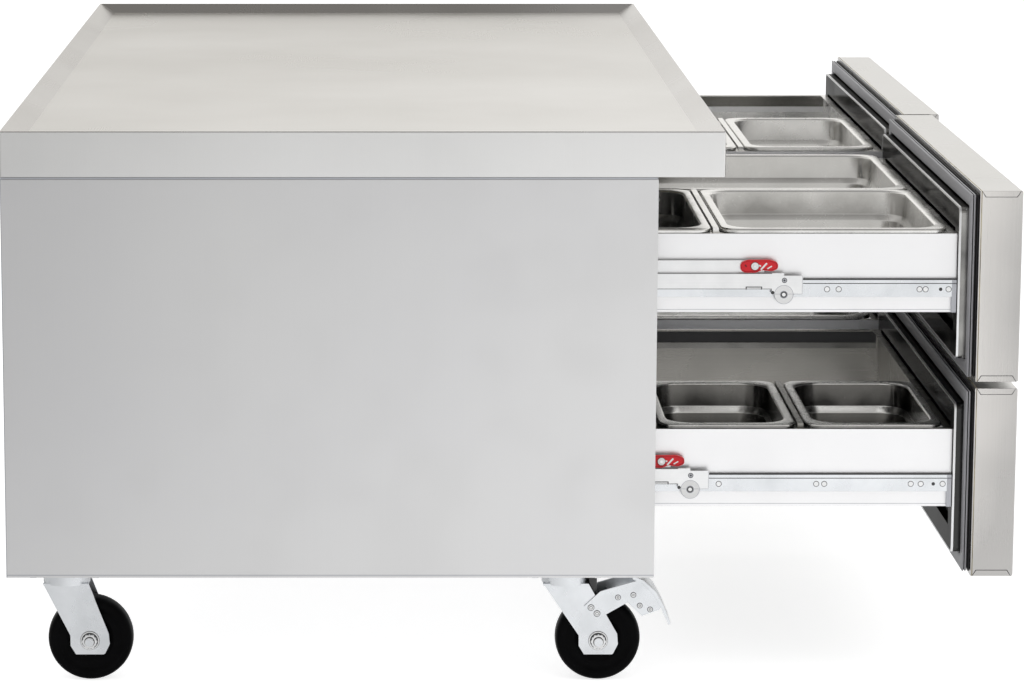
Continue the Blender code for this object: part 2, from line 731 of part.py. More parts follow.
def middle_front(drawer):
    """How deep the front end of a drawer's middle slide members lies."""
    closed = CABINET_DEPTH - MIDDLE_SETBACK - (1 - drawer["storey"]) * LOWER_SETBACK
    return closed + MIDDLE_SHARE * drawer_open(drawer)


def slide_face(drawer, side):
    """The cabinet face beside a drawer, and the direction from there to the drawer."""
    left = column_left(drawer["column"])
    if side == "left":
        return left, 1
    return left + BOX_WIDTH + 2 * SLIDE_SPACE, -1


def make_middle_slides(name, drawer):
    """The members that run out half as far as the drawer, each with a roller at its front end."""
    bottom = front_bottom(drawer["storey"])
    end = middle_front(drawer)
    rear = end - MIDDLE_LENGTH
    bar_up = (bottom + MIDDLE_BOTTOM, bottom + MIDDLE_BOTTOM + MIDDLE_HEIGHT)
    roller_up = bottom + ROLLER_HEIGHT
    for side in SIDES:
        face, toward = slide_face(drawer, side)
        plate_side = MIDDLE_NEAR + END_PLATE_SIDE
        bar = block(offset(face, toward, MIDDLE_NEAR, MIDDLE_FAR), (rear, end - ROLLER_SETBACK), bar_up)
        channel = block(
            offset(face, toward, MIDDLE_FAR - CHANNEL_SIDE, MIDDLE_FAR - OVERLAP),
            (rear + OVERLAP, end - CHANNEL_SETBACK),
            (bar_up[1] - OVERLAP, bar_up[1] + CHANNEL_HEIGHT),
        )
        end_plate = block(
            offset(face, toward, MIDDLE_NEAR, plate_side),
            (end - END_PLATE_LENGTH, end),
            (bar_up[0] - END_PLATE_DROP, bar_up[1] - END_PLATE_DROP / 2),
        )
        ends = offset(face, toward, plate_side - OVERLAP, MIDDLE_FAR)
        roller = rod(
            at(ends[0], end - ROLLER_SETBACK, roller_up),
            at(ends[1], end - ROLLER_SETBACK, roller_up),
            ROLLER_RADIUS,
            ROUND_SIDES,
        )
        pin_ends = offset(face, toward, MIDDLE_NEAR, MIDDLE_FAR - CHANNEL_SIDE + OVERLAP)
        pin = rod(
            at(pin_ends[0], end - LEVER_SETBACK, bottom + LEVER_UP),
            at(pin_ends[1], end - LEVER_SETBACK, bottom + LEVER_UP),
            LEVER_PIN,
        )
        pivot = end - LEVER_SETBACK
        pocket = block(
            offset(face, toward, MIDDLE_NEAR + LEVER_FLANGE, MIDDLE_FAR - CHANNEL_SIDE - CLEARANCE / 2),
            grown((pivot - LEVER_TAIL_SHARE * LEVER_LENGTH, pivot + (1 - LEVER_TAIL_SHARE) * LEVER_LENGTH), LEVER_ROOM),
            (bar_up[1] - LEVER_POCKET, bar_up[1] + OVERLAP),
        )
        steps = [("UNION", [channel, end_plate, roller, pin]), ("DIFFERENCE", [pocket])]
        solid(f"{name}_slide_{side}", bar, steps, finish="zinc")


def make_lever(name, drawer):
    """The red release lever on the visible slide of a left-hand drawer, turning on its pin."""
    face, toward = slide_face(drawer, "left")
    ends = offset(face, toward, MIDDLE_NEAR + LEVER_FLANGE + CLEARANCE, MIDDLE_FAR - CHANNEL_SIDE - CLEARANCE)
    pivot = at((ends[0] + ends[1]) / 2, middle_front(drawer) - LEVER_SETBACK, front_bottom(drawer["storey"]) + LEVER_UP)
    outline = []
    for forward_share, up_share in LEVER_SHARES:
        outline.append(((forward_share - LEVER_TAIL_SHARE) * LEVER_LENGTH, (up_share - 0.5) * LEVER_HEIGHT))
    lever = flat_plate(outline, ends[1] - ends[0], pivot)
    reach = Vector((OVERRUN, 0, 0))
    hole = rod(pivot - reach, pivot + reach, LEVER_PIN + CLEARANCE)
    solid(f"{name}_release_lever", lever, [("DIFFERENCE", [hole])], finish="red", origin=pivot)


def rounded_ring(shape, centre, width, length, radius):
    """New points round a rectangle with rounded corners."""
    points = []
    for corner in range(4):
        side = 1 if corner in (0, 3) else -1
        end = 1 if corner in (0, 1) else -1
        middle = centre + Vector((side * (width / 2 - radius), end * (length / 2 - radius), 0))
        for step in range(CORNER_STEPS + 1):
            angle = (corner + step / CORNER_STEPS) * math.pi / 2
            points.append(shape.verts.new(middle + radius * Vector((math.cos(angle), math.sin(angle), 0))))
    return points


def join_rings(shape, outer, inner):
    """The faces of a loft between two rings with as many points."""
    for number in range(len(outer)):
        shape.faces.new((outer[number - 1], outer[number], inner[number], inner[number - 1]))


def make_pan(name, drawer, place_across, place_deep, width, length):
    """A pressed steel pan that hangs by its rolled rim, stepped in just above its floor."""
    rim_top = front_bottom(drawer["storey"]) + WALL_TOP + CLEARANCE + RIM_SKIRT
    left = column_left(drawer["column"]) + SLIDE_SPACE + place_across
    front = BOX_FRONT + drawer_open(drawer) - PAN_END_PLAY - place_deep
    middle = at(left + width / 2, front - length / 2, rim_top)
    roll = RIM_WIDTH / 8
    levels = [
        (0, RIM_SKIRT, RIM_CORNER),
        (0, roll, RIM_CORNER),
        (roll, 0, RIM_CORNER),
        (RIM_WIDTH - roll, 0, BODY_CORNER),
        (RIM_WIDTH + roll, 2 * roll, BODY_CORNER),
        (RIM_WIDTH + PAN_STEP, 3 * PAN_DEPTH / 4, BODY_CORNER),
        (RIM_WIDTH + 2 * PAN_STEP, 3 * PAN_DEPTH / 4 + PAN_STEP / 2, BODY_CORNER),
        (RIM_WIDTH + 3 * PAN_STEP, PAN_DEPTH - PAN_STEP, BODY_CORNER),
        (RIM_WIDTH + 5 * PAN_STEP, PAN_DEPTH - PAN_SHEET, BODY_CORNER - PAN_STEP),
    ]
    shape = bmesh.new()
    rings = []
    for inset, drop, radius in levels:
        centre = middle - Vector((0, 0, drop))
        rings.append(rounded_ring(shape, centre, width - 2 * inset, length - 2 * inset, radius))
    for outer, inner in zip(rings, rings[1:]):
        join_rings(shape, outer, inner)
    shape.faces.new(rings[-1])
    part = solid(name, shape, finish="pan", smooth=True)
    sheet = part.modifiers.new("Sheet", "SOLIDIFY")
    sheet.thickness = PAN_SHEET
    sheet.offset = -1
    sheet.use_even_offset = True


def make_pans():
    """The pans that the drawers hold."""
    second_row = PAN_WIDTH + 3 * PAN_PLAY
    half = PAN_LENGTH / 2
    upper_left = DRAWERS["upper_left"]
    make_pan("half_pan_front", upper_left, PAN_PLAY, 0, PAN_WIDTH, half)
    make_pan("half_pan_rear", upper_left, PAN_PLAY, half + BAR_GAP, PAN_WIDTH, half)
    make_pan("full_pan_upper", upper_left, second_row, 0, PAN_WIDTH, PAN_LENGTH)
    upper_right = DRAWERS["upper_right"]
    make_pan("third_pan_front", upper_right, PAN_PLAY, 0, PAN_WIDTH, THIRD_LENGTH)
    make_pan("third_pan_rear", upper_right, PAN_PLAY, THIRD_LENGTH + BAR_GAP, PAN_WIDTH, THIRD_LENGTH)
    lower_left = DRAWERS["lower_left"]
    make_pan("quarter_pan_front", lower_left, PAN_PLAY, 0, half, QUARTER_LENGTH)
    make_pan("quarter_pan_rear", lower_left, PAN_PLAY, QUARTER_LENGTH + BAR_GAP, half, QUARTER_LENGTH)
    make_pan("full_pan_lower", DRAWERS["lower_right"], PAN_PLAY, 0, PAN_WIDTH, PAN_LENGTH)


def make_grille():
    """The louvred cover of the machine bay, level with the closed drawers."""
    left = column_left(1) + SLIDE_SPACE + BOX_WIDTH / 2 + FRONT_WIDTH / 2 + GRILLE_GAP
    across = (left, WIDTH - GRILLE_EDGE)
    up = (FRONT_BOTTOM, FRONT_TOP)
    shape = block(across, (GASKET_PLANE, CLOSED_FACE), up)
    hollow = block(grown(across, -SHEET), (GASKET_PLANE - OVERRUN, CLOSED_FACE - SHEET), grown(up, -SHEET))
    cut_deep = (CLOSED_FACE - SHEET - OVERRUN, CLOSED_FACE + OVERRUN)
    cuts = []
    louvres = int((up[1] - up[0] - LOUVRE_START - LOUVRE_END - CONTROL_DROP - CONTROL_HEIGHT) / LOUVRE_PITCH)
    for number in range(louvres):
        low = up[0] + LOUVRE_START + number * LOUVRE_PITCH
        cuts.append(block(grown(across, -LOUVRE_MARGIN), cut_deep, (low, low + LOUVRE_HEIGHT)))
    middle = (across[0] + across[1]) / 2
    cuts.append(block(*control_window(middle, cut_deep, CLEARANCE)))
    solid("machine_grille", shape, [("DIFFERENCE", [hollow]), ("DIFFERENCE", cuts)])
    return middle


def control_window(middle, deep, room):
    """The window of the thermostat in the grille, with room round it."""
    top = FRONT_TOP - CONTROL_DROP
    across = (middle - CONTROL_WIDTH / 2, middle + CONTROL_WIDTH / 2)
    return grown(across, room), deep, grown((top - CONTROL_HEIGHT, top), room)


def make_control(middle):
    """The thermostat: a box behind the grille whose face fills the window."""
    across, deep, up = control_window(middle, (CLOSED_FACE - CONTROL_DEPTH, CLOSED_FACE), 0)
    shape = block(across, deep, up)
    flange_deep = (CLOSED_FACE - SHEET - CLEARANCE - CONTROL_FLANGE, CLOSED_FACE - SHEET - CLEARANCE)
    flange = block(grown(across, CONTROL_FLANGE), flange_deep, grown(up, CONTROL_FLANGE))
    solid("control_box", shape, [("UNION", [flange])], finish="black")


def make_fan(name, centre, radius):
    """A fan whose blades are set at a pitch round a bored hub. Its axis runs from back to front."""
    half = Vector((0, FAN_DEPTH / 2, 0))
    hub = rod(centre - half, centre + half, FAN_HUB, ROUND_SIDES)
    blades = []
    inner = FAN_HUB - 2 * BLADE_SHEET
    for number in range(FAN_BLADES):
        shape = bmesh.new()
        size = (radius - inner, BLADE_SHEET, radius * 2 / FAN_BLADES)
        bmesh.ops.create_cube(shape, size=1, matrix=Matrix.Diagonal((*size, 1)))
        turn = Matrix.Rotation(number * 2 * math.pi / FAN_BLADES, 4, "Y")
        slope = Matrix.Rotation(BLADE_PITCH, 4, "X")
        outwards = Matrix.Translation(((radius + inner) / 2, 0, 0))
        bmesh.ops.transform(shape, matrix=Matrix.Translation(centre) @ turn @ outwards @ slope, verts=shape.verts)
        blades.append(shape)
    reach = half + Vector((0, OVERRUN, 0))
    bore = rod(centre - reach, centre + reach, FAN_SHAFT + CLEARANCE)
    solid(name, hub, [("UNION", blades), ("DIFFERENCE", [bore])], finish="black", origin=centre, smooth=True)


def make_condenser():
    """The condenser coil on the base sheet, with the fan's shroud and shaft behind it."""
    across = (BAY_MIDDLE - COIL_WIDTH / 2, BAY_MIDDLE + COIL_WIDTH / 2)
    front = CABINET_DEPTH - COIL_SETBACK
    back = front - COIL_DEPTH
    bottom = CASTER_HEIGHT + SHEET + CLEARANCE
    up = (bottom, bottom + COIL_HEIGHT)
    shape = block(across, (back - SHROUD_DEPTH, front), up)
    cuts = []
    pitch = COIL_HEIGHT / (COIL_GROOVES + 1)
    for number in range(COIL_GROOVES):
        low = up[0] + (number + 1) * pitch - COIL_GROOVE / 2
        deep = (front - COIL_GROOVE_DEPTH, front + OVERRUN)
        cuts.append(block(grown(across, -COIL_GROOVE), deep, (low, low + COIL_GROOVE)))
    fan_up = (up[0] + up[1]) / 2
    centre = at(BAY_MIDDLE, back - SHROUD_DEPTH / 2, fan_up)
    pocket = rod(
        at(BAY_MIDDLE, back - SHROUD_DEPTH - OVERRUN, fan_up),
        at(BAY_MIDDLE, back, fan_up),
        CONDENSER_FAN_RADIUS + FAN_ROOM,
        ROUND_SIDES,
    )
    shaft = rod(at(BAY_MIDDLE, back - SHROUD_DEPTH, fan_up), at(BAY_MIDDLE, back + OVERLAP, fan_up), FAN_SHAFT)
    steps = [("DIFFERENCE", cuts), ("DIFFERENCE", [pocket]), ("UNION", [shaft])]
    solid("condenser_coil", shape, steps, finish="aluminium")
    make_fan("condenser_fan", centre, CONDENSER_FAN_RADIUS)


def make_compressor():
    """The sealed compressor: a welded can on a foot plate, with its two tube stubs."""
    base = CASTER_HEIGHT + SHEET + CLEARANCE
    foot_top = base + FOOT_SHEET
    radius = COMPRESSOR_RADIUS
    dome = radius / 3
    profile = [(0, COMPRESSOR_HEIGHT)]
    for step in range(1, 4):
        angle = step * math.pi / 6
        profile.append((radius * math.sin(angle), COMPRESSOR_HEIGHT - dome * (1 - math.cos(angle))))
    profile += [(radius * CAN_BASE_SHARE, 0), (0, 0)]
    can = turned(profile, at(BAY_MIDDLE, COMPRESSOR_PLACE, foot_top - OVERLAP), Vector((0, 0, 1)))
    half = COMPRESSOR_FOOT / 2
    place = COMPRESSOR_PLACE
    foot = block((BAY_MIDDLE - half, BAY_MIDDLE + half), (place - half, place + half), (base, foot_top))
    tubes = []
    for height in (COMPRESSOR_HEIGHT / 3, 2 * COMPRESSOR_HEIGHT / 3):
        start = at(BAY_MIDDLE, place - radius / 2, foot_top + height)
        end = at(BAY_MIDDLE, place - radius - TUBE_LENGTH, foot_top + height)
        tubes.append(rod(start, end, TUBE_RADIUS))
    solid("compressor", can, [("UNION", [foot] + tubes)], finish="black", smooth=True)


def make_gland():
    """The gland under the machine bay through which a mains lead would come out."""
    inner_nut = SHEET + 2 * CLEARANCE
    bore = GLAND_RADIUS * GLAND_BORE_SHARE
    profile = [
        (bore, inner_nut + GLAND_LENGTH / 3),
        (GLAND_FLANGE, inner_nut + GLAND_LENGTH / 3),
        (GLAND_FLANGE, inner_nut),
        (GLAND_RADIUS, inner_nut),
        (GLAND_RADIUS, 0),
        (GLAND_FLANGE, 0),
        (GLAND_FLANGE, -GLAND_LENGTH / 3),
        (GLAND_RADIUS, -GLAND_LENGTH),
        (bore, -GLAND_LENGTH),
    ]
    place = at(BAY_MIDDLE, GLAND_PLACE, CASTER_HEIGHT - CLEARANCE)
    shape = turned(profile, place, Vector((0, 0, 1)), SMALL_SIDES, closed=True)
    solid("mains_gland", shape, finish="black", smooth=True)


def make_evaporator():
    """The evaporator on the back wall of the chamber, with the pocket and shaft of its fan."""
    middle = column_left(1) + SLIDE_SPACE + BOX_WIDTH / 2
    across = (middle - EVAPORATOR_WIDTH / 2, middle + EVAPORATOR_WIDTH / 2)
    back = BACK_WALL + CLEARANCE
    front = back + EVAPORATOR_DEPTH
    top = CHAMBER_CEILING - EVAPORATOR_DROP
    up = (top - EVAPORATOR_HEIGHT, top)
    shape = block(across, (back, front), up)
    fan_up = (up[0] + up[1]) / 2
    radius = EVAPORATOR_FAN_RADIUS + FAN_ROOM
    floor = front - EVAPORATOR_POCKET
    pocket = rod(at(middle, floor, fan_up), at(middle, front + OVERRUN, fan_up), radius, ROUND_SIDES)
    shaft = rod(at(middle, floor - OVERLAP, fan_up), at(middle, front, fan_up), FAN_SHAFT)
    steps = [("DIFFERENCE", [pocket]), ("UNION", [shaft])]
    solid("evaporator_case", shape, steps, finish="aluminium")
    make_fan("evaporator_fan", at(middle, floor + EVAPORATOR_POCKET / 2, fan_up), EVAPORATOR_FAN_RADIUS)


def make_caster_plate(name, across, swivel):
    """The mounting plate with its four bolts and the race that the fork turns in."""
    top = CASTER_HEIGHT - CLEARANCE
    bottom = top - PLATE_SHEET
    half_across = PLATE_WIDTH / 2
    half_deep = PLATE_LENGTH / 2
    shape = block((across - half_across, across + half_across), (swivel - half_deep, swivel + half_deep), (bottom, top))
    shapes = [rod(at(across, swivel, RACE_BOTTOM), at(across, swivel, bottom + OVERLAP), RACE_RADIUS, ROUND_SIDES)]
    for side in (-1, 1):
        for end in (-1, 1):
            bolt_across = across + side * BOLT_SPACING_ACROSS / 2
            bolt_deep = swivel + end * BOLT_SPACING / 2
            low = at(bolt_across, bolt_deep, bottom - BOLT_HEAD)
            shapes.append(rod(low, at(bolt_across, bolt_deep, bottom + OVERLAP), BOLT_RADIUS, 6))
    solid(f"{name}_caster_plate", shape, [("UNION", shapes)], finish="zinc")


def leg_outline(trail):
    """A fork leg seen from the side, about the axle: wide at the top and round at the boss."""
    outline = [(-trail + LEG_HALF_TOP, LEG_TOP), (-trail - LEG_HALF_TOP, LEG_TOP)]
    for step in range(LEG_BOSS_STEPS + 1):
        angle = LEG_BOSS_FROM + (LEG_BOSS_TO - LEG_BOSS_FROM) * step / LEG_BOSS_STEPS
        outline.append((LEG_BOSS * math.cos(angle), LEG_BOSS * math.sin(angle)))
    return outline


def make_fork(name, across, swivel, trail, braked):
    """A pressed fork with its axle bolt, turning under the plate."""
    axle_deep = swivel + trail
    axle = at(across, axle_deep, WHEEL_RADIUS)
    side = Vector((LEG_GAP + LEG_SHEET / 2, 0, 0))
    outline = leg_outline(trail)
    first_leg = flat_plate(outline, LEG_SHEET, axle - side)
    bridge_half = LEG_GAP + OVERLAP
    shapes = [
        flat_plate(outline, LEG_SHEET, axle + side),
        block(
            (across - bridge_half, across + bridge_half),
            grown((swivel - LEG_HALF_TOP, swivel + LEG_HALF_TOP), -OVERLAP),
            (BRIDGE_TOP - BRIDGE_SHEET, BRIDGE_TOP - OVERLAP),
        ),
        rod(
            at(across, swivel, BRIDGE_TOP - BRIDGE_SHEET / 2),
            at(across, swivel, RACE_BOTTOM - CLEARANCE),
            CUP_RADIUS,
            ROUND_SIDES,
        ),
        rod(axle - Vector((AXLE_HALF, 0, 0)), axle + Vector((AXLE_HALF, 0, 0)), AXLE_RADIUS),
    ]
    head_start = LEG_GAP + LEG_SHEET - OVERLAP
    for toward in (-1, 1):
        inner = axle + Vector((toward * head_start, 0, 0))
        outer = axle + Vector((toward * (AXLE_HALF - AXLE_RADIUS), 0, 0))
        shapes.append(rod(inner, outer, AXLE_HEAD, 6))
        if braked:
            pin = pedal_pivot(across, axle_deep)
            pin_end = LEG_GAP + LEG_SHEET + 2 * CLEARANCE + PEDAL_SHEET
            start = pin + Vector((toward * head_start, 0, 0))
            shapes.append(rod(start, pin + Vector((toward * pin_end, 0, 0)), PEDAL_PIN))
    pivot = at(across, swivel, RACE_BOTTOM)
    solid(f"{name}_caster_fork", first_leg, [("UNION", shapes)], finish="zinc", origin=pivot)


def make_wheel(name, across, axle_deep):
    """A solid wheel with a rounded tread and a hub that stands a little proud."""
    half = WHEEL_WIDTH / 2
    bore = AXLE_RADIUS + CLEARANCE
    rim = WHEEL_RADIUS - TREAD_ROUND
    hub_half = half + HUB_PROUD
    dish = half - TYRE_DISH
    half_profile = [
        (bore, hub_half),
        (HUB_RADIUS, hub_half),
        (HUB_RADIUS + HUB_PROUD, dish),
        (rim - TREAD_ROUND, dish),
        (rim, half),
        (WHEEL_RADIUS - TREAD_ROUND / 4, half - TREAD_ROUND * 3 / 4),
        (WHEEL_RADIUS, half / 3),
    ]
    profile = half_profile + [(radius, -height) for radius, height in reversed(half_profile)]
    axle = at(across, axle_deep, WHEEL_RADIUS)
    shape = turned(profile, axle, Vector((1, 0, 0)), WHEEL_STEPS, closed=True)
    solid(f"{name}_wheel", shape, finish="tyre", origin=axle, smooth=True)


def pedal_pivot(across, axle_deep):
    """Where a brake pedal turns on its fork."""
    return at(across, axle_deep - PEDAL_BACK, WHEEL_RADIUS + PEDAL_UP)


def make_pedal(name, across, axle_deep):
    """The brake pedal: two cheeks outside the fork and a curved tread in front."""
    axle = at(across, axle_deep, WHEEL_RADIUS)
    cheek = [(forward * PEDAL_REACH, up * PEDAL_TOP) for forward, up in CHEEK_SHARES]
    tread = [(forward * PEDAL_REACH, up * PEDAL_TOP) for forward, up in TREAD_SHARES]
    side = Vector((LEG_GAP + LEG_SHEET + CLEARANCE + PEDAL_SHEET / 2, 0, 0))
    first_cheek = flat_plate(cheek, PEDAL_SHEET, axle - side)
    shapes = [flat_plate(cheek, PEDAL_SHEET, axle + side), flat_plate(tread, 2 * TREAD_HALF, axle)]
    pivot = pedal_pivot(across, axle_deep)
    reach = side + Vector((OVERRUN, 0, 0))
    hole = rod(pivot - reach, pivot + reach, PEDAL_PIN + CLEARANCE)
    steps = [("UNION", shapes), ("DIFFERENCE", [hole])]
    solid(f"{name}_brake_pedal", first_cheek, steps, finish="zinc", origin=pivot)


def make_casters():
    """Four casters; the two at the front have brakes."""
    for side, across in (("left", CASTER_INSET), ("right", WIDTH - CASTER_INSET)):
        for end, swivel, trail in (
            ("rear", REAR_SWIVEL, REAR_TRAIL),
            ("front", CABINET_DEPTH - FRONT_SWIVEL, FRONT_TRAIL),
        ):
            name = f"{end}_{side}"
            braked = end == "front"
            make_caster_plate(name, across, swivel)
            make_fork(name, across, swivel, trail, braked)
            make_wheel(name, across, swivel + trail)
            if braked:
                make_pedal(name, across, swivel + trail)


def make_drawers():
    """Each drawer's front, gasket, frame and middle slide members, and the two levers that show."""
    for name, drawer in DRAWERS.items():
        make_drawer_front(name, drawer)
        make_gasket(name, drawer)
        make_drawer_box(name, drawer)
        make_middle_slides(name, drawer)
        if drawer["column"] == 0:
            make_lever(name, drawer)


PARTS, CUTTERS = start_scene()
make_worktop()
make_outer_shell()
make_insulation()
make_liner()
make_front_frame()
make_slide_carriers()
make_drawers()
make_pans()
make_control(make_grille())
make_condenser()
make_compressor()
make_gland()
make_evaporator()
make_casters()
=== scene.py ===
# %% [markdown]
# # A refrigerated chef base
# A chef base is a low refrigerator that stands under the griddle of a cooking line. Its steel top
# carries the cooking machine, and its drawers hold hanging food pans. This lesson dresses a plain
# CAD model of one: the model comes in with its bodies and joints, and everything made here rides
# on them. All lengths are metres, the drawers open towards -Y, and left is the cook's left.

# %% Load the model
import json
import math

import bmesh
import bpy
from mathutils import Matrix, Vector

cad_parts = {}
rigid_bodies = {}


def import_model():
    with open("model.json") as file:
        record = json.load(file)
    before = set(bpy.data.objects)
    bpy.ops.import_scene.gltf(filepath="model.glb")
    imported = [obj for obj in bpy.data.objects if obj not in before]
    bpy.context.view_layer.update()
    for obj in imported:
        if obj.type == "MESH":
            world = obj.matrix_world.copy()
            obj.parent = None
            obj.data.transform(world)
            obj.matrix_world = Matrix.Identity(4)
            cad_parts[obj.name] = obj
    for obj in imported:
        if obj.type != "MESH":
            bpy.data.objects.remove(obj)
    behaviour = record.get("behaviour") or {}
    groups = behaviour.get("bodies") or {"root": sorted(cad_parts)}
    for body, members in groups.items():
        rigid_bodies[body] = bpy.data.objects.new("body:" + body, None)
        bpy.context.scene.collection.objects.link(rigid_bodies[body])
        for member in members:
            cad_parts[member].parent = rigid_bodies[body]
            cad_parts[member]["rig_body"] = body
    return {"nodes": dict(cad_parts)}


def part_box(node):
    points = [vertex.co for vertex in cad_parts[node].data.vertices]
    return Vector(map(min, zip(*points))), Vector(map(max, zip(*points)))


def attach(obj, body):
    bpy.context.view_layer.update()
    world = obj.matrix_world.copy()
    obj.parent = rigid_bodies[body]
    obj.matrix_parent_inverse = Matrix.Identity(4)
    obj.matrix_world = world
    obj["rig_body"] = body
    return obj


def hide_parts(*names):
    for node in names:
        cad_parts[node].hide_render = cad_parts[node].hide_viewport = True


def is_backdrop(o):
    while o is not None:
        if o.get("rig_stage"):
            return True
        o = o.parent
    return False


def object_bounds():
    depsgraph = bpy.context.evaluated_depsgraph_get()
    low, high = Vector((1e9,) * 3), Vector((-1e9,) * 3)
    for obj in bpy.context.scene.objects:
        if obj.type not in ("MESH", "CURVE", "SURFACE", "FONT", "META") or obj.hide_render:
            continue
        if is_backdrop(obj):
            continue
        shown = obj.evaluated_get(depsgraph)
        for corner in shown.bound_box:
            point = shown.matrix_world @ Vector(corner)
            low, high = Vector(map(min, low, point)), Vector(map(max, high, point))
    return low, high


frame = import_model()
cad_low, cad_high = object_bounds()
BACK = cad_high.y
print("the model has", len(frame["nodes"]), "pieces and measures", [round(v, 4) for v in cad_high - cad_low])

# %% [markdown]
# ## The camera
# The photograph was taken from the left side of the base and from a little above, with a long
# lens. A long lens far away keeps the edges nearly parallel, so the camera stands over four metres
# from the side panel. It looks down by less than ten degrees, and the lens is shifted sideways
# rather than turned, which keeps the panel square in the picture.

# %% Camera
IMAGE_SIZE = (1024, 694)
CAMERA_PLACE = (-5.0285, 0.15825, 1.212)
CAMERA_DOWN = math.radians(9.54)
LENS = 130.5
LENS_SHIFT = (0.13, -0.07)

camera_data = bpy.data.cameras.new("side_camera")
camera_data.lens = LENS
camera_data.sensor_width = 36
camera_data.shift_x, camera_data.shift_y = LENS_SHIFT
camera_data.clip_end = 200
camera = bpy.data.objects.new("side_camera", camera_data)
camera.location = CAMERA_PLACE
camera.rotation_euler = (math.pi / 2 - CAMERA_DOWN, 0, -math.pi / 2)
scene = bpy.context.scene
scene.collection.objects.link(camera)
scene.camera = camera
scene.view_settings.view_transform = "Standard"
print("the picture is", IMAGE_SIZE, "and the lens", LENS, "mm")

# %% [markdown]
# ## A bright studio
# Steel has hardly a colour of its own: it shows what stands round it. So the studio matters more
# than the lamps. The world is white near the horizon and darker overhead, like a bright room with
# a dark ceiling, and that is what draws the dark line inside the far rim of the top. It is also
# darker on the camera's side, where the room is, which keeps the insides of the drawers dark. Rays
# that light matt surfaces see an even, weaker white, so that a colour renders about as written.


# %% Node helpers
WHITE = (1, 1, 1, 1)


def fill(tree, socket, value):
    """Writes a plain value into a socket, or links an output or a node's first output to it."""
    if isinstance(value, bpy.types.Node):
        value = value.outputs[0]
    if isinstance(value, bpy.types.NodeSocket):
        tree.links.new(value, socket)
    else:
        socket.default_value = value


def add_node(tree, kind, *terms, **values):
    """A shader node: its first sockets take the terms, and the values name settings or sockets."""
    node = tree.nodes.new("ShaderNode" + kind)
    for name, value in values.items():
        if hasattr(node, name):
            setattr(node, name, value)
        else:
            fill(tree, node.inputs[name.replace("_", " ")], value)
    for socket, term in zip(node.inputs, terms):
        fill(tree, socket, term)
    return node


def axes_of(tree, coordinates):
    """The X, Y and Z of one kind of texture coordinates."""
    place = add_node(tree, "TexCoord").outputs[coordinates]
    return add_node(tree, "SeparateXYZ", place).outputs


def seen_directly(tree):
    """One for camera rays, and one for rays from the camera, a reflection or through glass."""
    path = add_node(tree, "LightPath").outputs
    total = path["Is Camera Ray"]
    for name in ("Is Glossy Ray", "Is Transmission Ray"):
        total = add_node(tree, "Math", total, path[name], operation="MAXIMUM").outputs[0]
    return path["Is Camera Ray"], total


# %% World
WORLD_LIGHT = 0.72
SKY_STEPS = (
    (0.00, (1.0, 0.985, 0.955)), (0.30, (0.98, 0.965, 0.935)), (0.55, (0.80, 0.79, 0.77)),
    (0.80, (0.30, 0.29, 0.275)), (1.00, (0.46, 0.46, 0.46)),
)
ROOM_SPAN = (-0.75, 0.25)
ROOM_SHARE = 0.62

world = bpy.data.worlds.new("studio")
world.use_nodes = True
scene.world = world
sky = world.node_tree
sky.nodes.clear()
aim = axes_of(sky, "Generated")
ramp = add_node(sky, "ValToRGB", aim["Z"])
while len(ramp.color_ramp.elements) < len(SKY_STEPS):
    ramp.color_ramp.elements.new(0.5)
for element, (place, colour) in zip(ramp.color_ramp.elements, SKY_STEPS):
    element.position = place
    element.color = (*colour, 1)
room = add_node(sky, "MapRange", aim["X"], *ROOM_SPAN, ROOM_SHARE)
camera_ray, direct_ray = seen_directly(sky)
matt_light = add_node(sky, "Background", WHITE, WORLD_LIGHT)
mirrored = add_node(sky, "Background", ramp, room)
lit_or_mirrored = add_node(sky, "MixShader", direct_ray, matt_light, mirrored)
backdrop = add_node(sky, "Background", WHITE, 1.0)
add_node(sky, "OutputWorld", add_node(sky, "MixShader", camera_ray, lit_or_mirrored, backdrop))
print("the sky goes from", SKY_STEPS[0][1], "to", SKY_STEPS[-1][1])

# %% [markdown]
# ## The floor
# The floor is a wide pale disc. It takes the shadow of the base as any matt floor does, and an
# even white is added for the camera and for reflections, so that the lit floor is as white as the
# backdrop and no horizon shows. The white in the reflections fades towards the back, like the
# unlit side of a studio, and that shades the side panel from its rear edge to its front edge.

# %% Floor
FLOOR_RADIUS = 60
FLOOR_PALE = 0.64
CAMERA_GLOW = 0.76
FLOOR_GLOW = 0.57
FADED_GLOW = 0.0
FADE_SPAN = (-0.4, 1.5)

floor_paint = bpy.data.materials.new("studio_floor")
floor_paint.use_nodes = True
tree = floor_paint.node_tree
tree.nodes.clear()
matt = add_node(tree, "BsdfDiffuse", (FLOOR_PALE, FLOOR_PALE, FLOOR_PALE, 1))
camera_ray, direct_ray = seen_directly(tree)
depth = axes_of(tree, "Object")["Y"]
fade = add_node(tree, "MapRange", depth, *FADE_SPAN, FLOOR_GLOW, FADED_GLOW, interpolation_type="SMOOTHSTEP")
glow_seen = add_node(tree, "Mix", data_type="FLOAT", Factor=camera_ray, A=fade, B=CAMERA_GLOW)
both = add_node(tree, "AddShader", matt, add_node(tree, "Emission", WHITE, glow_seen))
add_node(tree, "OutputMaterial", add_node(tree, "MixShader", direct_ray, matt, both))

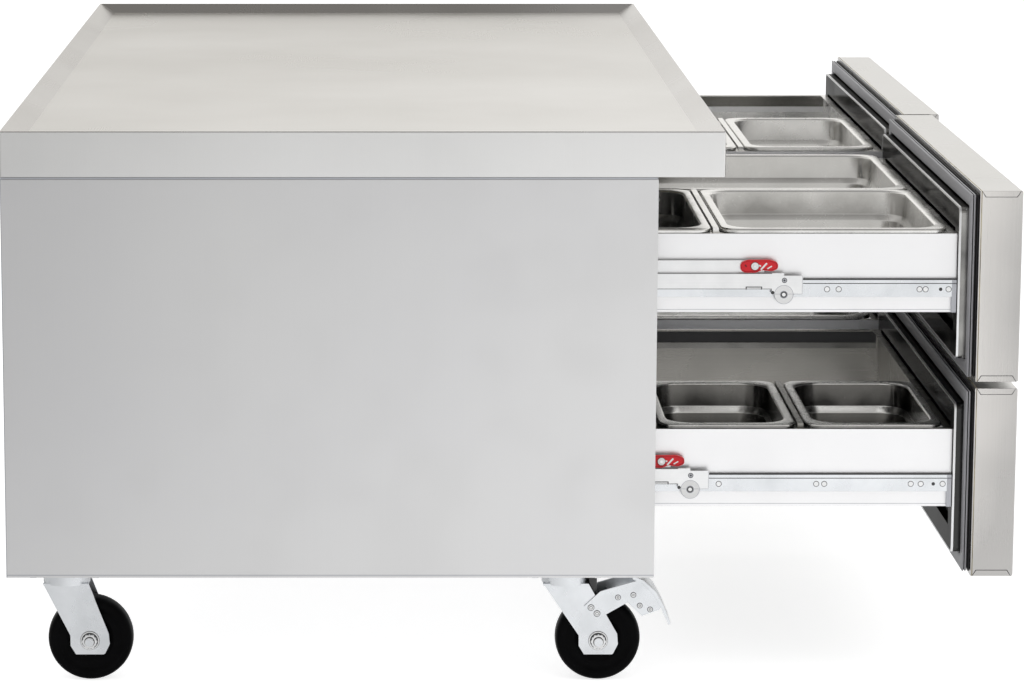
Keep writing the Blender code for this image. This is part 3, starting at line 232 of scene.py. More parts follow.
disc = bmesh.new()
bmesh.ops.create_circle(disc, cap_ends=True, segments=96, radius=FLOOR_RADIUS)
floor_mesh = bpy.data.meshes.new("studio_floor")
disc.to_mesh(floor_mesh)
disc.free()
floor_mesh.materials.append(floor_paint)
studio_floor = bpy.data.objects.new("studio_floor", floor_mesh)
scene.collection.objects.link(studio_floor)
studio_floor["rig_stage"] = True
print("the floor is", 2 * FLOOR_RADIUS, "m across")

# %% [markdown]
# ## Soft lamps
# Three large area lamps light the matt surfaces and give the shadow under the base its soft edge.
# They are kept out of reflections, because a bright square mirrored in plain sheet steel reads as
# a window.

# %% Lamps
LAMPS = (
    ("overhead_softbox", (-0.8, -0.6, 3.6), 4.0, 34.0),
    ("front_softbox", (-2.6, -3.4, 2.2), 2.4, 26.0),
    ("rear_softbox", (2.4, 3.2, 2.6), 2.4, 14.0),
)
LAMP_AIM = Vector((0, 0, 0.35))

for name, place, size, power in LAMPS:
    lamp_data = bpy.data.lights.new(name, "AREA")
    lamp_data.shape = "DISK"
    lamp_data.size = size
    lamp_data.energy = power
    lamp = bpy.data.objects.new(name, lamp_data)
    lamp.location = place
    lamp.rotation_euler = (LAMP_AIM - Vector(place)).to_track_quat("-Z", "Y").to_euler()
    lamp.visible_glossy = False
    lamp.visible_camera = False
    scene.collection.objects.link(lamp)
print("lamps:", [name for name, *_ in LAMPS])

# %% [markdown]
# ## Two shader groups
# Rolled steel is brushed with fine lines and has wide, soft clouds where the finish differs. Both
# come from noise: the lines are a noise stretched along the grain, and the clouds a wide one. The
# first group gives them to every finish here, each with its own sizes. The second group makes the
# marks of use: short fine scratches and faint smears that take the shine down a little.

# %% Shader groups
CLOUD_SPAN = (0.3, 0.7)
HAIR_SPAN = (0.66, 0.74)
SMEAR_SPAN = (0.45, 0.75)


def new_group(name, inputs, outputs):
    """A shader node group with named sockets, and the sockets to take from and give to inside it."""
    tree = bpy.data.node_groups.new(name, "ShaderNodeTree")
    for label, value in inputs.items():
        kind = "NodeSocketVector" if isinstance(value, tuple) else "NodeSocketFloat"
        tree.interface.new_socket(name=label, in_out="INPUT", socket_type=kind).default_value = value
    for label in outputs:
        tree.interface.new_socket(name=label, in_out="OUTPUT", socket_type="NodeSocketFloat")
    return tree, tree.nodes.new("NodeGroupInput").outputs, tree.nodes.new("NodeGroupOutput").inputs


def noise(tree, scale, detail, roughness=0.5):
    """A noise over Object coordinates that are multiplied by a vector or a number."""
    place = add_node(tree, "TexCoord").outputs["Object"]
    scaled = add_node(tree, "VectorMath", place, scale, operation="MULTIPLY")
    return add_node(tree, "TexNoise", Vector=scaled, Scale=1.0, Detail=detail, Roughness=roughness)


def make_sheet_group():
    """Grain lines, and their mixture with clouds, each from 0 to 1."""
    inputs = {"Grain": (4.0, 4.0, 900.0), "Cloud Size": 4.0, "Line Share": 0.4}
    tree, given, result = new_group("sheet_surface", inputs, ("Lines", "Shade"))
    lines = noise(tree, given["Grain"], 4.0, 0.65)
    clouds = add_node(tree, "MapRange", noise(tree, given["Cloud Size"], 3.0, 0.45), *CLOUD_SPAN)
    shade = add_node(tree, "Mix", data_type="FLOAT", Factor=given["Line Share"], A=clouds, B=lines)
    fill(tree, result["Lines"], lines)
    fill(tree, result["Shade"], shade)
    return tree


def make_wear_group():
    """Hairline scratches along the grain and soft smears: a mask from 0, fresh, to 1, worn."""
    inputs = {"Hair Grain": (12.0, 1200.0, 1200.0), "Size": 12.0, "Amount": 0.3}
    tree, given, result = new_group("use_marks", inputs, ("Marks",))
    hair = add_node(tree, "MapRange", noise(tree, given["Hair Grain"], 1.0), *HAIR_SPAN)
    patches = noise(tree, given["Size"], 2.0, 0.4)
    smear = add_node(tree, "MapRange", patches, *SMEAR_SPAN, interpolation_type="SMOOTHSTEP")
    both = add_node(tree, "Math", hair, smear, operation="MAXIMUM")
    fill(tree, result["Marks"], add_node(tree, "Math", both, given["Amount"], operation="MULTIPLY"))
    return tree


sheet_group = make_sheet_group()
wear_group = make_wear_group()
print("groups:", sheet_group.name, wear_group.name)

# %% [markdown]
# ## Finishes
# Every finish is one recipe with its own numbers: two colours that the clouds and lines mix, a
# roughness that they spread, marks of use, and a very shallow bump. Some also lighten along a
# direction, which is painted light and shade. Values that are the same all over, such as the coat
# on black painted steel, are set on the shader's own socket.

# %% Finish recipe
FINISHES = {}
HAIR_FINENESS = 3
WORN_ROUGHER = 0.25
BUMP_REACH = 0.0005
COAT_ROUGHNESS = 0.12


def finish(name, dark, light, rough, grain, metal=1.0, spread=0.06, cloud=4.0, lines=0.4, relief=0.02,
           marks=0.2, mark_size=12.0, coat=0.0, specular=0.5, painted_gradient=None, grazed=1.0):
    """Adds a material made from two colours and a roughness. A painted gradient of light and shade lightens
    it per metre and by a constant.

    Grazed tints what a metal reflects when it is seen along its surface.
    """
    material = bpy.data.materials.new(name)
    material.use_nodes = True
    tree = material.node_tree
    sheet = add_node(tree, "Group", node_tree=sheet_group, Grain=grain, Cloud_Size=cloud, Line_Share=lines)
    hair = [HAIR_FINENESS * share for share in grain]
    wear = add_node(tree, "Group", node_tree=wear_group, Hair_Grain=hair, Size=mark_size, Amount=marks)
    shade = mixed = sheet.outputs["Shade"]
    # A painted gradient lightens the colour along a direction: painted light and shade.
    if painted_gradient:
        place = add_node(tree, "TexCoord").outputs["Object"]
        along = add_node(tree, "VectorMath", place, painted_gradient[:3], operation="DOT_PRODUCT").outputs["Value"]
        raised = add_node(tree, "Math", along, painted_gradient[3], operation="ADD")
        mixed = add_node(tree, "Math", raised, shade, operation="ADD", use_clamp=True)
    colour = add_node(tree, "Mix", data_type="RGBA", Factor=mixed, A=(*dark, 1), B=(*light, 1))
    shine = add_node(tree, "MapRange", shade, 0.0, 1.0, rough - spread, rough + spread)
    bump = add_node(tree, "Bump", Strength=relief, Distance=BUMP_REACH, Height=sheet.outputs["Lines"])
    shader_values = {
        "Base Color": colour.outputs["Result"],
        "Roughness": add_node(tree, "Math", wear, WORN_ROUGHER, shine, operation="MULTIPLY_ADD"),
        "Normal": bump, "Metallic": metal, "Coat Weight": coat, "Coat Roughness": COAT_ROUGHNESS,
        "Specular IOR Level": specular, "Specular Tint": (grazed, grazed, grazed, 1),
    }
    for label, value in shader_values.items():
        fill(tree, tree.nodes["Principled BSDF"].inputs[label], value)
    FINISHES[name] = material


# %% Finishes
UPRIGHT = (700.0, 700.0, 3.0)
ALONG_X = (3.0, 700.0, 700.0)
ALONG_Y = (700.0, 3.0, 700.0)
EVEN = (260.0, 260.0, 260.0)
ROLLED = {"cloud": 2.5, "lines": 0.15, "spread": 0.03, "relief": 0.002, "marks": 0.03}
FACED = {"spread": 0.03, "relief": 0.01, "marks": 0.05}
CALM = {"lines": 0.25, "spread": 0.03}
PRESSED = {"lines": 0.2, "relief": 0.005, "mark_size": 25.0}

# The top and its rim lighten towards the front and the cook's left, and the rim is a darker copy of the top's
# steel: painted light and shade.
finish("top_steel", (0.53, 0.515, 0.485), (0.78, 0.77, 0.75), 0.29, ALONG_X, painted_gradient=(-0.35, -0.80, 0, 0.06),
       **ROLLED)
finish("rim_steel", (0.43, 0.415, 0.395), (0.69, 0.68, 0.67), 0.27, ALONG_X, painted_gradient=(-0.35, -0.70, 0, 0),
       **ROLLED)
finish("skirt_steel", (0.73, 0.73, 0.725), (0.82, 0.82, 0.815), 0.31, UPRIGHT, cloud=3.0, **CALM)
# The end faces of the fronts take a darker copy of the fronts' steel, lighter upwards and towards the seal:
# painted light and shade.
finish("end_steel", (0.44, 0.43, 0.42), (0.69, 0.67, 0.645), 0.26, UPRIGHT, cloud=5.0, lines=0.3,
       painted_gradient=(0, 13, 2.0, 6.40))
finish("panel_steel", (0.645, 0.645, 0.655), (0.70, 0.70, 0.70), 0.33, UPRIGHT, cloud=2.5, **CALM)
finish("front_steel", (0.66, 0.655, 0.64), (0.78, 0.775, 0.765), 0.28, ALONG_X, lines=0.25, **FACED)
finish("face_steel", (0.47, 0.465, 0.46), (0.55, 0.545, 0.54), 0.30, ALONG_X, cloud=2.0, lines=0.45, **FACED)
finish("plug_dark", (0.03, 0.03, 0.03), (0.07, 0.07, 0.068), 0.16, ALONG_X, cloud=10.0, grazed=0.3)
finish("plug_steel", (0.02, 0.02, 0.02), (0.42, 0.415, 0.40), 0.17, ALONG_X, cloud=16.0, grazed=0.2, **CALM)
# A darker steel for hems and seams, and for outlines painted as shade at edges.
finish("hem_and_edge_shade_steel", (0.42, 0.43, 0.46), (0.48, 0.49, 0.52), 0.40, ALONG_X)
finish("weld_steel", (0.22, 0.22, 0.215), (0.34, 0.335, 0.33), 0.38, EVEN)
finish("pan_steel", (0.78, 0.775, 0.76), (0.97, 0.965, 0.95), 0.24, EVEN, cloud=14.0, **PRESSED)
# The upper pans' walls darken towards the shoulder, and the lower pans take darker copies of the pan steel
# that also darken downwards: painted shade.
finish("pan_wall", (0.44, 0.435, 0.42), (0.97, 0.965, 0.95), 0.24, EVEN, cloud=14.0, painted_gradient=(0, 0, 21, -11.14),
       **PRESSED)
finish("lower_pan_wall_shade", (0.045, 0.044, 0.042), (0.27, 0.265, 0.255), 0.20, EVEN, cloud=16.0,
       painted_gradient=(0, 0, 34, -10.29), **PRESSED)
finish("pan_shaded", (0.09, 0.088, 0.083), (0.24, 0.235, 0.225), 0.20, EVEN, cloud=16.0, **PRESSED)
finish("zinc", (0.63, 0.65, 0.67), (0.82, 0.84, 0.865), 0.27, EVEN, cloud=22.0, lines=0.15, marks=0.25,
       mark_size=40.0)
finish("rail_zinc", (0.72, 0.725, 0.73), (0.90, 0.905, 0.91), 0.31, ALONG_Y, cloud=30.0, metal=0.9, marks=0.3)
finish("drawer_box", (0.89, 0.89, 0.90), (0.95, 0.95, 0.96), 0.34, ALONG_Y, metal=0.85, cloud=8.0, lines=0.3,
       spread=0.03)
# A dark steel for the insides of the lower frames and the sheets under the rims: painted shade.
finish("inner_shade_steel", (0.20, 0.195, 0.18), (0.30, 0.29, 0.27), 0.26, ALONG_Y, cloud=9.0)
# A dark finish for slots and holes, and for lines and rings painted as shadows.
finish("slot_and_shadow_dark", (0.04, 0.04, 0.042), (0.08, 0.08, 0.084), 0.5, ALONG_Y, metal=0.4)
finish("liner", (0.50, 0.505, 0.51), (0.62, 0.62, 0.62), 0.40, UPRIGHT, cloud=5.0)
finish("foam", (0.60, 0.52, 0.32), (0.78, 0.70, 0.48), 0.9, EVEN, relief=0.6, cloud=60.0, metal=0)
finish("gasket", (0.34, 0.34, 0.355), (0.43, 0.43, 0.45), 0.42, EVEN, relief=0.1, cloud=20.0, metal=0)
finish("tyre", (0.0015, 0.0015, 0.0017), (0.0045, 0.0045, 0.005), 0.34, EVEN, cloud=30.0,
       specular=0.035, metal=0)
# A near-black rubber for the faces in the seal's grooves: painted shade.
finish("seal_groove_shade", (0.012, 0.012, 0.013), (0.035, 0.035, 0.037), 0.5, EVEN, cloud=20.0,
       specular=0.2, metal=0)
finish("red_plastic", (0.64, 0.018, 0.026), (0.78, 0.030, 0.042), 0.34, EVEN, specular=0.3, metal=0)
finish("red_shadow", (0.10, 0.003, 0.005), (0.16, 0.004, 0.008), 0.5, EVEN, metal=0)
finish("seam_foam", (0.05, 0.047, 0.045), (0.62, 0.54, 0.36), 0.8, EVEN, cloud=45.0, metal=0)
finish("white_nylon", (0.86, 0.86, 0.86), (0.94, 0.94, 0.94), 0.40, EVEN, metal=0)
finish("black_plastic", (0.012, 0.012, 0.013), (0.03, 0.03, 0.032), 0.42, EVEN, specular=0.3, metal=0)
finish("black_steel", (0.010, 0.010, 0.011), (0.025, 0.025, 0.027), 0.32, EVEN, coat=0.4, metal=0)
finish("coil", (0.55, 0.56, 0.57), (0.72, 0.73, 0.74), 0.40, ALONG_X, cloud=25.0)
finish("evaporator", (0.62, 0.63, 0.64), (0.74, 0.75, 0.76), 0.38, EVEN, cloud=12.0)

node_slot = {}
for node_name, node in frame["nodes"].items():
    slot_name = node.material_slots[0].material.name
    node_slot[node_name] = slot_name
    node.material_slots[0].material = FINISHES["front_steel" if slot_name == "brushed_steel" else slot_name]
print(len(FINISHES), "finishes made and", len(node_slot), "nodes painted")

# %% [markdown]
# ## From a bmesh to a piece
# Every new piece goes the same way: a bmesh becomes an object at the origin, takes its finish and
# rides on a body of the model. Faces shade smoothly across gentle angles and break at sharp ones.
# What stands on a face is sunk a little into it, so that no light shows between the two.

# %% Piece helpers
SMOOTH_BELOW = math.radians(38)
SHARP_ABOVE = math.radians(28)
SUNK = 0.0002
SAME_POINT = 0.000001


def at(x, deep, up):
    """The point at an X place that lies deep from the back and up from the floor."""
    return Vector((x, BACK - deep, up))


def shade(shape):
    """Smooth faces, with an edge kept wherever two of them meet at a large angle."""
    for face in shape.faces:
        face.smooth = True
    for edge in shape.edges:
        edge.smooth = len(edge.link_faces) == 2 and edge.calc_face_angle() < SMOOTH_BELOW


def piece(shape, name, finish_names, body, stands_for=(), weigh=True):
    """Turns a bmesh into a finished piece that rides on a body."""
    shade(shape)
    mesh = bpy.data.meshes.new(name)
    shape.to_mesh(mesh)
    shape.free()
    for finish_name in finish_names:
        mesh.materials.append(FINISHES[finish_name])
    made = bpy.data.objects.new(name, mesh)
    scene.collection.objects.link(made)
    if weigh:
        even = made.modifiers.new("Even_normals", "WEIGHTED_NORMAL")
        even.keep_sharp = True
        even.weight = 80
    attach(made, body)
    if stands_for:
        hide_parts(*stands_for)
    return made


def replacement(shape, node_name, ending, finish_names, weigh=True):
    """A piece with the place and the body of a node, and with its name and an ending."""
    body, slot = frame["nodes"][node_name]["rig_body"], node_slot[node_name]
    return piece(shape, f"{node_name}_{ending}", finish_names, body, [node_name], weigh)


def bevel_edges(shape, edges, width, segments=2):
    """Rounds some edges of a shape."""
    bmesh.ops.bevel(
        shape, geom=edges, offset=width, segments=segments, profile=0.5, affect="EDGES", material=-1,
        clamp_overlap=True,
    )


def sharp_edges(shape, above=SHARP_ABOVE):
    """The edges where two faces meet at a large angle."""
    return [edge for edge in shape.edges if len(edge.link_faces) == 2 and edge.calc_face_angle() > above]


def painted(shape, number):
    """Gives all faces of a shape one of the piece's finishes, by its number."""
    for face in shape.faces:
        face.material_index = number
    return shape


# %% Blocks and heads
def block(low, high, edge=0.0, number=0):
    """A box between two corners, with its edges rounded if a width is given."""
    shape = bmesh.new()
    middle, size = (low + high) / 2, high - low
    size = Vector([abs(v) for v in size])
    bmesh.ops.create_cube(shape, size=1, matrix=Matrix.Translation(middle) @ Matrix.Diagonal((*size, 1)))
    if edge:
        bevel_edges(shape, list(shape.edges), edge)
    return painted(shape, number)


def sheet_on(face_x, toward, proud, corner, span, number=0, edge=0.0):
    """A thin sheet on a side face. Its span is low and high Y, low and high Z, from a corner."""
    low_y, high_y, low_z, high_z = span
    low = Vector((face_x - toward * SUNK, corner[0] + low_y, corner[1] + low_z))
    high = Vector((face_x + toward * proud, corner[0] + high_y, corner[1] + high_z))
    return block(low, high, edge, number)


def disc_on(place, axis, radius, height, sides=16, edge=0.0, number=0):
    """A short round or hexagonal head that stands on a face and points along an axis."""
    shape = bmesh.new()
    bmesh.ops.create_cone(
        shape, cap_ends=True, cap_tris=False, segments=sides, radius1=radius, radius2=radius, depth=height
    )
    if edge:
        top = max(shape.faces, key=lambda face: face.calc_center_median().z)
        bevel_edges(shape, list(top.edges), edge)
    turn = Vector((0, 0, 1)).rotation_difference(Vector(axis)).to_matrix().to_4x4()
    move = Matrix.Translation(place) @ turn @ Matrix.Translation((0, 0, height / 2))
    bmesh.ops.transform(shape, matrix=move, verts=shape.verts)
    return painted(shape, number)


def joined(shapes):
    """Several shapes as one."""
    whole = bmesh.new()
    for shape in shapes:
        mesh = bpy.data.meshes.new("loose")
        shape.to_mesh(mesh)
        shape.free()
        whole.from_mesh(mesh)
        bpy.data.meshes.remove(mesh)
    return whole


print("helpers ready")

# %% [markdown]
# ## Softened copies
# Folded sheet has no perfectly sharp edge: the bend has a radius, and it catches the light as a
# thin bright line. For the pieces whose form is right, a copy of the model's mesh is merged, its
# flat triangles are joined into faces, and its sharp edges get a narrow bevel.

# %% Softened copies
FLAT_WITHIN = math.radians(0.5)
MERGED_WITHIN = 0.00001
FACING = 0.9
SQUARE = 0.99
UPRIGHT_BELOW = 0.5
CLOSE = 0.0002


def copy_of(node_name):
    """A merged copy of a node's mesh, with flat neighbours joined into one face."""
    shape = bmesh.new()
    shape.from_mesh(frame["nodes"][node_name].data)
    bmesh.ops.remove_doubles(shape, verts=shape.verts, dist=MERGED_WITHIN)
    bmesh.ops.dissolve_limit(
        shape, angle_limit=FLAT_WITHIN, verts=shape.verts, edges=shape.edges, use_dissolve_boundaries=False
    )
    return shape


def softened(node_name, width, finish_names, choose=None, shape=None, extra=()):
    """Replaces a node by a copy with rounded edges. Choose gives each face one of the finishes."""
    shape = shape or copy_of(node_name)
    if choose:
        for face in shape.faces:
            face.material_index = choose(face.calc_center_median(), face.normal, *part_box(node_name))
    bevel_edges(shape, sharp_edges(shape), width)
    replacement(joined([shape, *extra]) if extra else shape, node_name, "finished", finish_names)


def cut(shape, place, across, **options):
    """Cuts a shape by the plane through a place and square to a direction."""
    geometry = [*shape.verts, *shape.edges, *shape.faces]
    bmesh.ops.bisect_plane(shape, geom=geometry, dist=SAME_POINT, plane_co=place, plane_no=across, **options)


# %% [markdown]
# ## The cabinet's sheets
# The shell is folded steel with a hem along its foot, and its back has a pressed seam and rows of
# rivets. So the copy is cut along the hem and the seam, the strip of the seam is pushed in, and
# every rivet is a flat head on a darker ring. The grille and the face frame only need soft edges.

# %% Cabinet sheets
SHELL_LOW, SHELL_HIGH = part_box("outer_shell")
HEM_UP = (0.0024, 0.0036)
EDGE_BAND = 0.0016
BACK_SEAM = 0.6640
SEAM_GAP = 0.0024
SEAM_DEPTH = 0.0005
SEAM_SEARCH = 0.0012
BACK_DRAWN_IN = 0.0005
SHELL_EDGE = 0.0009
GRILLE_EDGE = 0.0004
FRAME_EDGE = 0.0006
SIDE_MARGIN = 0.012
RIVET_UPS = (0.155, 0.265, 0.375, 0.485, 0.595)
RIVET_COLUMNS = (
    SHELL_LOW.x + SIDE_MARGIN, -0.06, BACK_SEAM - SIDE_MARGIN, BACK_SEAM + SIDE_MARGIN + SEAM_GAP,
    SHELL_HIGH.x - SIDE_MARGIN,
)
BACK_RIVET = ((0.0046, 0.0003, 20, 0.0, 1), (0.0036, 0.0006, 20, 0.00015, 0))


def in_seam(centre, normal):
    """Whether a face lies in the seam of the back's outer side."""
    return normal.y > FACING and 0 < centre.x - BACK_SEAM < SEAM_GAP and centre.y > SHELL_HIGH.y - SEAM_SEARCH


def panelled_shell():
    """A copy of the shell, cut along its hem and rear edges, with a pressed seam in its back."""
    shape = copy_of("outer_shell")
    for vertex in shape.verts:
        if vertex.co.y > SHELL_HIGH.y - CLOSE / 2:
            vertex.co.y -= BACK_DRAWN_IN
    for up in HEM_UP:
        cut(shape, (0, 0, SHELL_LOW.z + up), (0, 0, 1))
    cut(shape, (0, SHELL_HIGH.y - EDGE_BAND, 0), (0, 1, 0))
    for x in (BACK_SEAM, BACK_SEAM + SEAM_GAP):
        cut(shape, (x, 0, 0), (1, 0, 0))
    strip = [face for face in shape.faces if in_seam(face.calc_center_median(), face.normal)]
    pressed = bmesh.ops.extrude_face_region(shape, geom=strip)["geom"]
    corners = [part for part in pressed if isinstance(part, bmesh.types.BMVert)]
    bmesh.ops.translate(shape, vec=(0, -SEAM_DEPTH, 0), verts=corners)
    return shape


def shell_finish(centre, normal, low, high):
    """Chooses a darker finish for the shell's hem, rear edges and seam."""
    hem = abs(normal.z) < UPRIGHT_BELOW and HEM_UP[0] < centre.z - low.z < HEM_UP[1]
    rear = abs(normal.x) > FACING and centre.y > high.y - EDGE_BAND
    return 1 if hem or rear or in_seam(centre, normal) else 0


softened("outer_shell", SHELL_EDGE, ["panel_steel", "hem_and_edge_shade_steel"], shell_finish, panelled_shell())
rivets = []
for up in RIVET_UPS:
    for x in RIVET_COLUMNS:
        place = Vector((x, SHELL_HIGH.y - BACK_DRAWN_IN - SUNK, up))
        rivets += [disc_on(place, (0, 1, 0), *sizes) for sizes in BACK_RIVET]
piece(joined(rivets), "back_panel_rivets", ["rail_zinc", "hem_and_edge_shade_steel"], "cabinet")
softened("machine_grille", GRILLE_EDGE, ["face_steel"])
softened("front_frame", FRAME_EDGE, ["front_steel"])
print("softened the cabinet's sheets")

# %% [markdown]
# ## Lofts from extrusions
# Pans, seals and the worktop are all rings of rounded rectangles. One face is made with its
# corners rounded, and it is drawn out level by level; after each step its rim takes the size and
# corner radius of the next level. Bending a flat sheet over a former is much the same.


# %% Loft helpers
def loft(levels, steps=6, closed=False):
    """A shape through rounded rectangles: each level is half width, half length, corner, height."""
    shape = bmesh.new()
    half_x, half_y, corner, height = levels[0]
    bmesh.ops.create_grid(shape, x_segments=1, y_segments=1, size=1)
    bmesh.ops.scale(shape, vec=(half_x, half_y, 1), verts=shape.verts)
    bmesh.ops.translate(shape, vec=(0, 0, height), verts=shape.verts)
    bmesh.ops.bevel(
        shape, geom=list(shape.verts), offset=corner, segments=steps, profile=0.5, affect="VERTICES",
        material=-1,
    )
    shape.faces.ensure_lookup_table()
    cap = shape.faces[0]
    for new_x, new_y, new_corner, new_height in levels[1:]:
        cap = bmesh.ops.extrude_discrete_faces(shape, faces=[cap])["faces"][0]
        for vertex in cap.verts:
            side = Vector((math.copysign(1, vertex.co.x), math.copysign(1, vertex.co.y)))
            old_middle = Vector((side.x * (half_x - corner), side.y * (half_y - corner)))
            outward = (vertex.co.xy - old_middle).normalized()
            new_middle = Vector((side.x * (new_x - new_corner), side.y * (new_y - new_corner)))
            vertex.co = (*(new_middle + outward * new_corner), new_height)
        half_x, half_y, corner = new_x, new_y, new_corner
    if closed:
        bmesh.ops.delete(shape, geom=[cap], context="FACES_ONLY")
        bmesh.ops.remove_doubles(shape, verts=shape.verts, dist=SAME_POINT)
    bmesh.ops.recalc_face_normals(shape, faces=shape.faces)
    return shape


def ring(half, rows, corner, steps, base=0.0):
    """A closed ring loft. Each row is an inset from the outline and a height over the base."""
    levels = [(half[0] - inset, half[1] - inset, corner, base + rise) for inset, rise in rows]
    return loft(levels, steps, closed=True)


def centred(shape, low, high):
    """Moves a loft over the middle of a box."""
    middle = (low + high) / 2
    bmesh.ops.translate(shape, vec=(middle.x, middle.y, 0), verts=shape.verts)
    return shape


def open_sheet(levels, steps, low, high):
    """A loft without thickness over the middle of a box, with its floor or field facing up."""
    shape = centred(loft(levels, steps), low, high)
    if max(shape.faces, key=lambda face: face.calc_area()).normal.z < 0:
        bmesh.ops.reverse_faces(shape, faces=shape.faces)
    return shape


def thicken(made, thickness):
    """Gives an open sheet its thickness, on the inner side."""
    sheet = made.modifiers.new("Sheet", "SOLIDIFY")
    sheet.thickness = thickness
    sheet.offset = -1


def arc(start_angle, end_angle, middle, radius, steps):
    """Points along a quarter bend, as inset and height."""
    points = []
    for step in range(steps + 1):
        angle = math.radians(start_angle + (end_angle - start_angle) * step / steps)
        points.append((middle[0] + radius * math.cos(angle), middle[1] + radius * math.sin(angle)))
    return points


print("loft ready")

# %% [markdown]
# ## The worktop
# The top is one sheet: a flat field, a sloped rim that keeps spilled fat from running off, and a
# skirt all round. The corners are cut, folded and welded, and the weld is ground flush, so it
# shows only as a thin darker line at each mitre. The brushing runs along the sheet and, where the
# sides are folded down, along with it: so the side skirts have upright lines.

# %% Worktop
WORKTOP_LOW, WORKTOP_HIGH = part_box("worktop")
RIDGE_RUN = 0.026
RIDGE_HEIGHT = 0.0127
TOP_SHEET = 0.0012
HEM_CHAMFER = 0.0003
BEND = 0.0014
FOOT_ROWS = ((-0.002, 0.0011), (-0.0007, 0.0003), (0.001, 0.0))
CORNER_OUTSIDE = 0.0024
CORNER_PER_INSET = 0.08
CORNER_LEAST = 0.0004
LEVEL_ABOVE = 0.98
SKIRT_FACING = 0.8
MITRE_SHARE = 0.5
LIP_INSET = (0.002, 0.0005, 0.0004)
LIP_REACH = 0.015
LIP_EDGE = 0.0003
BEAD_CORNER = 0.0005
BEAD_ROWS = ((0.0006, 0.0002), (0.0006, 0.0028), (0.0018, 0.0028), (0.0018, 0.0002), (0.0006, 0.0002))


def top_finish(normal):
    """Chooses for each face of the worktop: field, side skirt, weld, rim or front skirt."""
    if abs(normal.z) < UPRIGHT_BELOW:
        return 4 if normal.y < -SKIRT_FACING else 1 if abs(normal.x) > SKIRT_FACING else 0
    if UPRIGHT_BELOW < normal.z < LEVEL_ABOVE:
        lesser, greater = sorted((abs(normal.x), abs(normal.y)))
        # The rim's finish is a darker copy of the field's: painted shade.
        return 2 if lesser > MITRE_SHARE * greater else 3
    return 0


# %% Bend the worktop
top_half = (WORKTOP_HIGH - WORKTOP_LOW) / 2
crest = WORKTOP_HIGH.z
field = crest - RIDGE_HEIGHT
slope = math.degrees(math.atan2(RIDGE_HEIGHT, RIDGE_RUN))
hem = WORKTOP_LOW.z
profile = [(TOP_SHEET, hem), (HEM_CHAMFER, hem + HEM_CHAMFER), (0, hem + TOP_SHEET)]
profile += [(BEND + x, z) for x, z in arc(180, 90 - slope, (0, crest - BEND), BEND, 4)]
profile += [(RIDGE_RUN + run, field + rise) for run, rise in FOOT_ROWS]
levels = []
for inset, height in profile:
    corner = max(CORNER_OUTSIDE - inset * CORNER_PER_INSET, CORNER_LEAST)
    levels.append((top_half.x - inset, top_half.y - inset, corner, height))
worktop = open_sheet(levels, 3, WORKTOP_LOW, WORKTOP_HIGH)
for face in worktop.faces:
    face.material_index = top_finish(face.normal)
top_finishes = ["top_steel", "skirt_steel", "weld_steel", "rim_steel", "face_steel"]
worktop_piece = replacement(worktop, "worktop", "sheet", top_finishes, weigh=False)
thicken(worktop_piece, TOP_SHEET)
even = worktop_piece.modifiers.new("Even_normals", "WEIGHTED_NORMAL")
even.keep_sharp = True

lip_high = Vector((WORKTOP_HIGH.x - LIP_INSET[0], WORKTOP_LOW.y + LIP_REACH, hem + TOP_SHEET + LIP_INSET[2]))
lip = block(WORKTOP_LOW + Vector(LIP_INSET), lip_high, LIP_EDGE)
piece(lip, "worktop_return", ["top_steel"], "cabinet")
bead = ring((SHELL_HIGH - SHELL_LOW) / 2, BEAD_ROWS, BEAD_CORNER, 1, SHELL_HIGH.z)
centred(bead, SHELL_LOW, SHELL_HIGH)
piece(bead, "shell_hem_bead", ["hem_and_edge_shade_steel"], "cabinet", weigh=False)
print("worktop of", len(worktop_piece.data.polygons), "faces")

# %% [markdown]
# ## Food pans
# A pan is pressed from one sheet. Its rim is rolled down so that it is stiff and has no cutting
# edge, its walls lean a little so that pans stack, and a shoulder below the rim keeps stacked pans
# from jamming. The corners are round, because deep drawing tears a sharp one.

# %% Pans
PAN_SHEET = 0.0008
RIM_FLAT = 0.0105
RIM_ROLL = 0.0022
RIM_DROP = 0.0050
RIM_LIP = (0.0005, 0.0006)
RIM_BEND = 0.0030
RIM_STEP = 0.0020
PAN_DEPTH = 0.100
PAN_STEPS = 8
RIM_CORNER = 0.020
WALL_CORNER = 0.032
WALL_LEAN = 0.0092
FLOOR_BEND = 0.014
FOOT_CORNER = WALL_CORNER - FLOOR_BEND * 0.4
SHOULDER_ROWS = ((0.0016, 0.0295), (0.0022, 0.0305), (0.0050, 0.0362), (0.0056, 0.0378))
SHOULDER = (0.0299, 0.0371)
PANS = (
    "half_pan_front", "half_pan_rear", "full_pan_upper", "third_pan_front", "third_pan_rear",
    "quarter_pan_front", "quarter_pan_rear", "full_pan_lower",
)
# Rims and shoulders keep the bright pan steel. The walls, and the lower pans' floors, take darker copies:
# painted shade.
PAN_LOOKS = {
    "half": ["pan_steel", "pan_wall", "pan_steel"], "third": ["pan_steel", "pan_wall", "pan_steel"],
    "full": ["pan_steel", "pan_steel", "pan_steel"], "quarter": ["pan_steel", "lower_pan_wall_shade", "pan_shaded"],
}


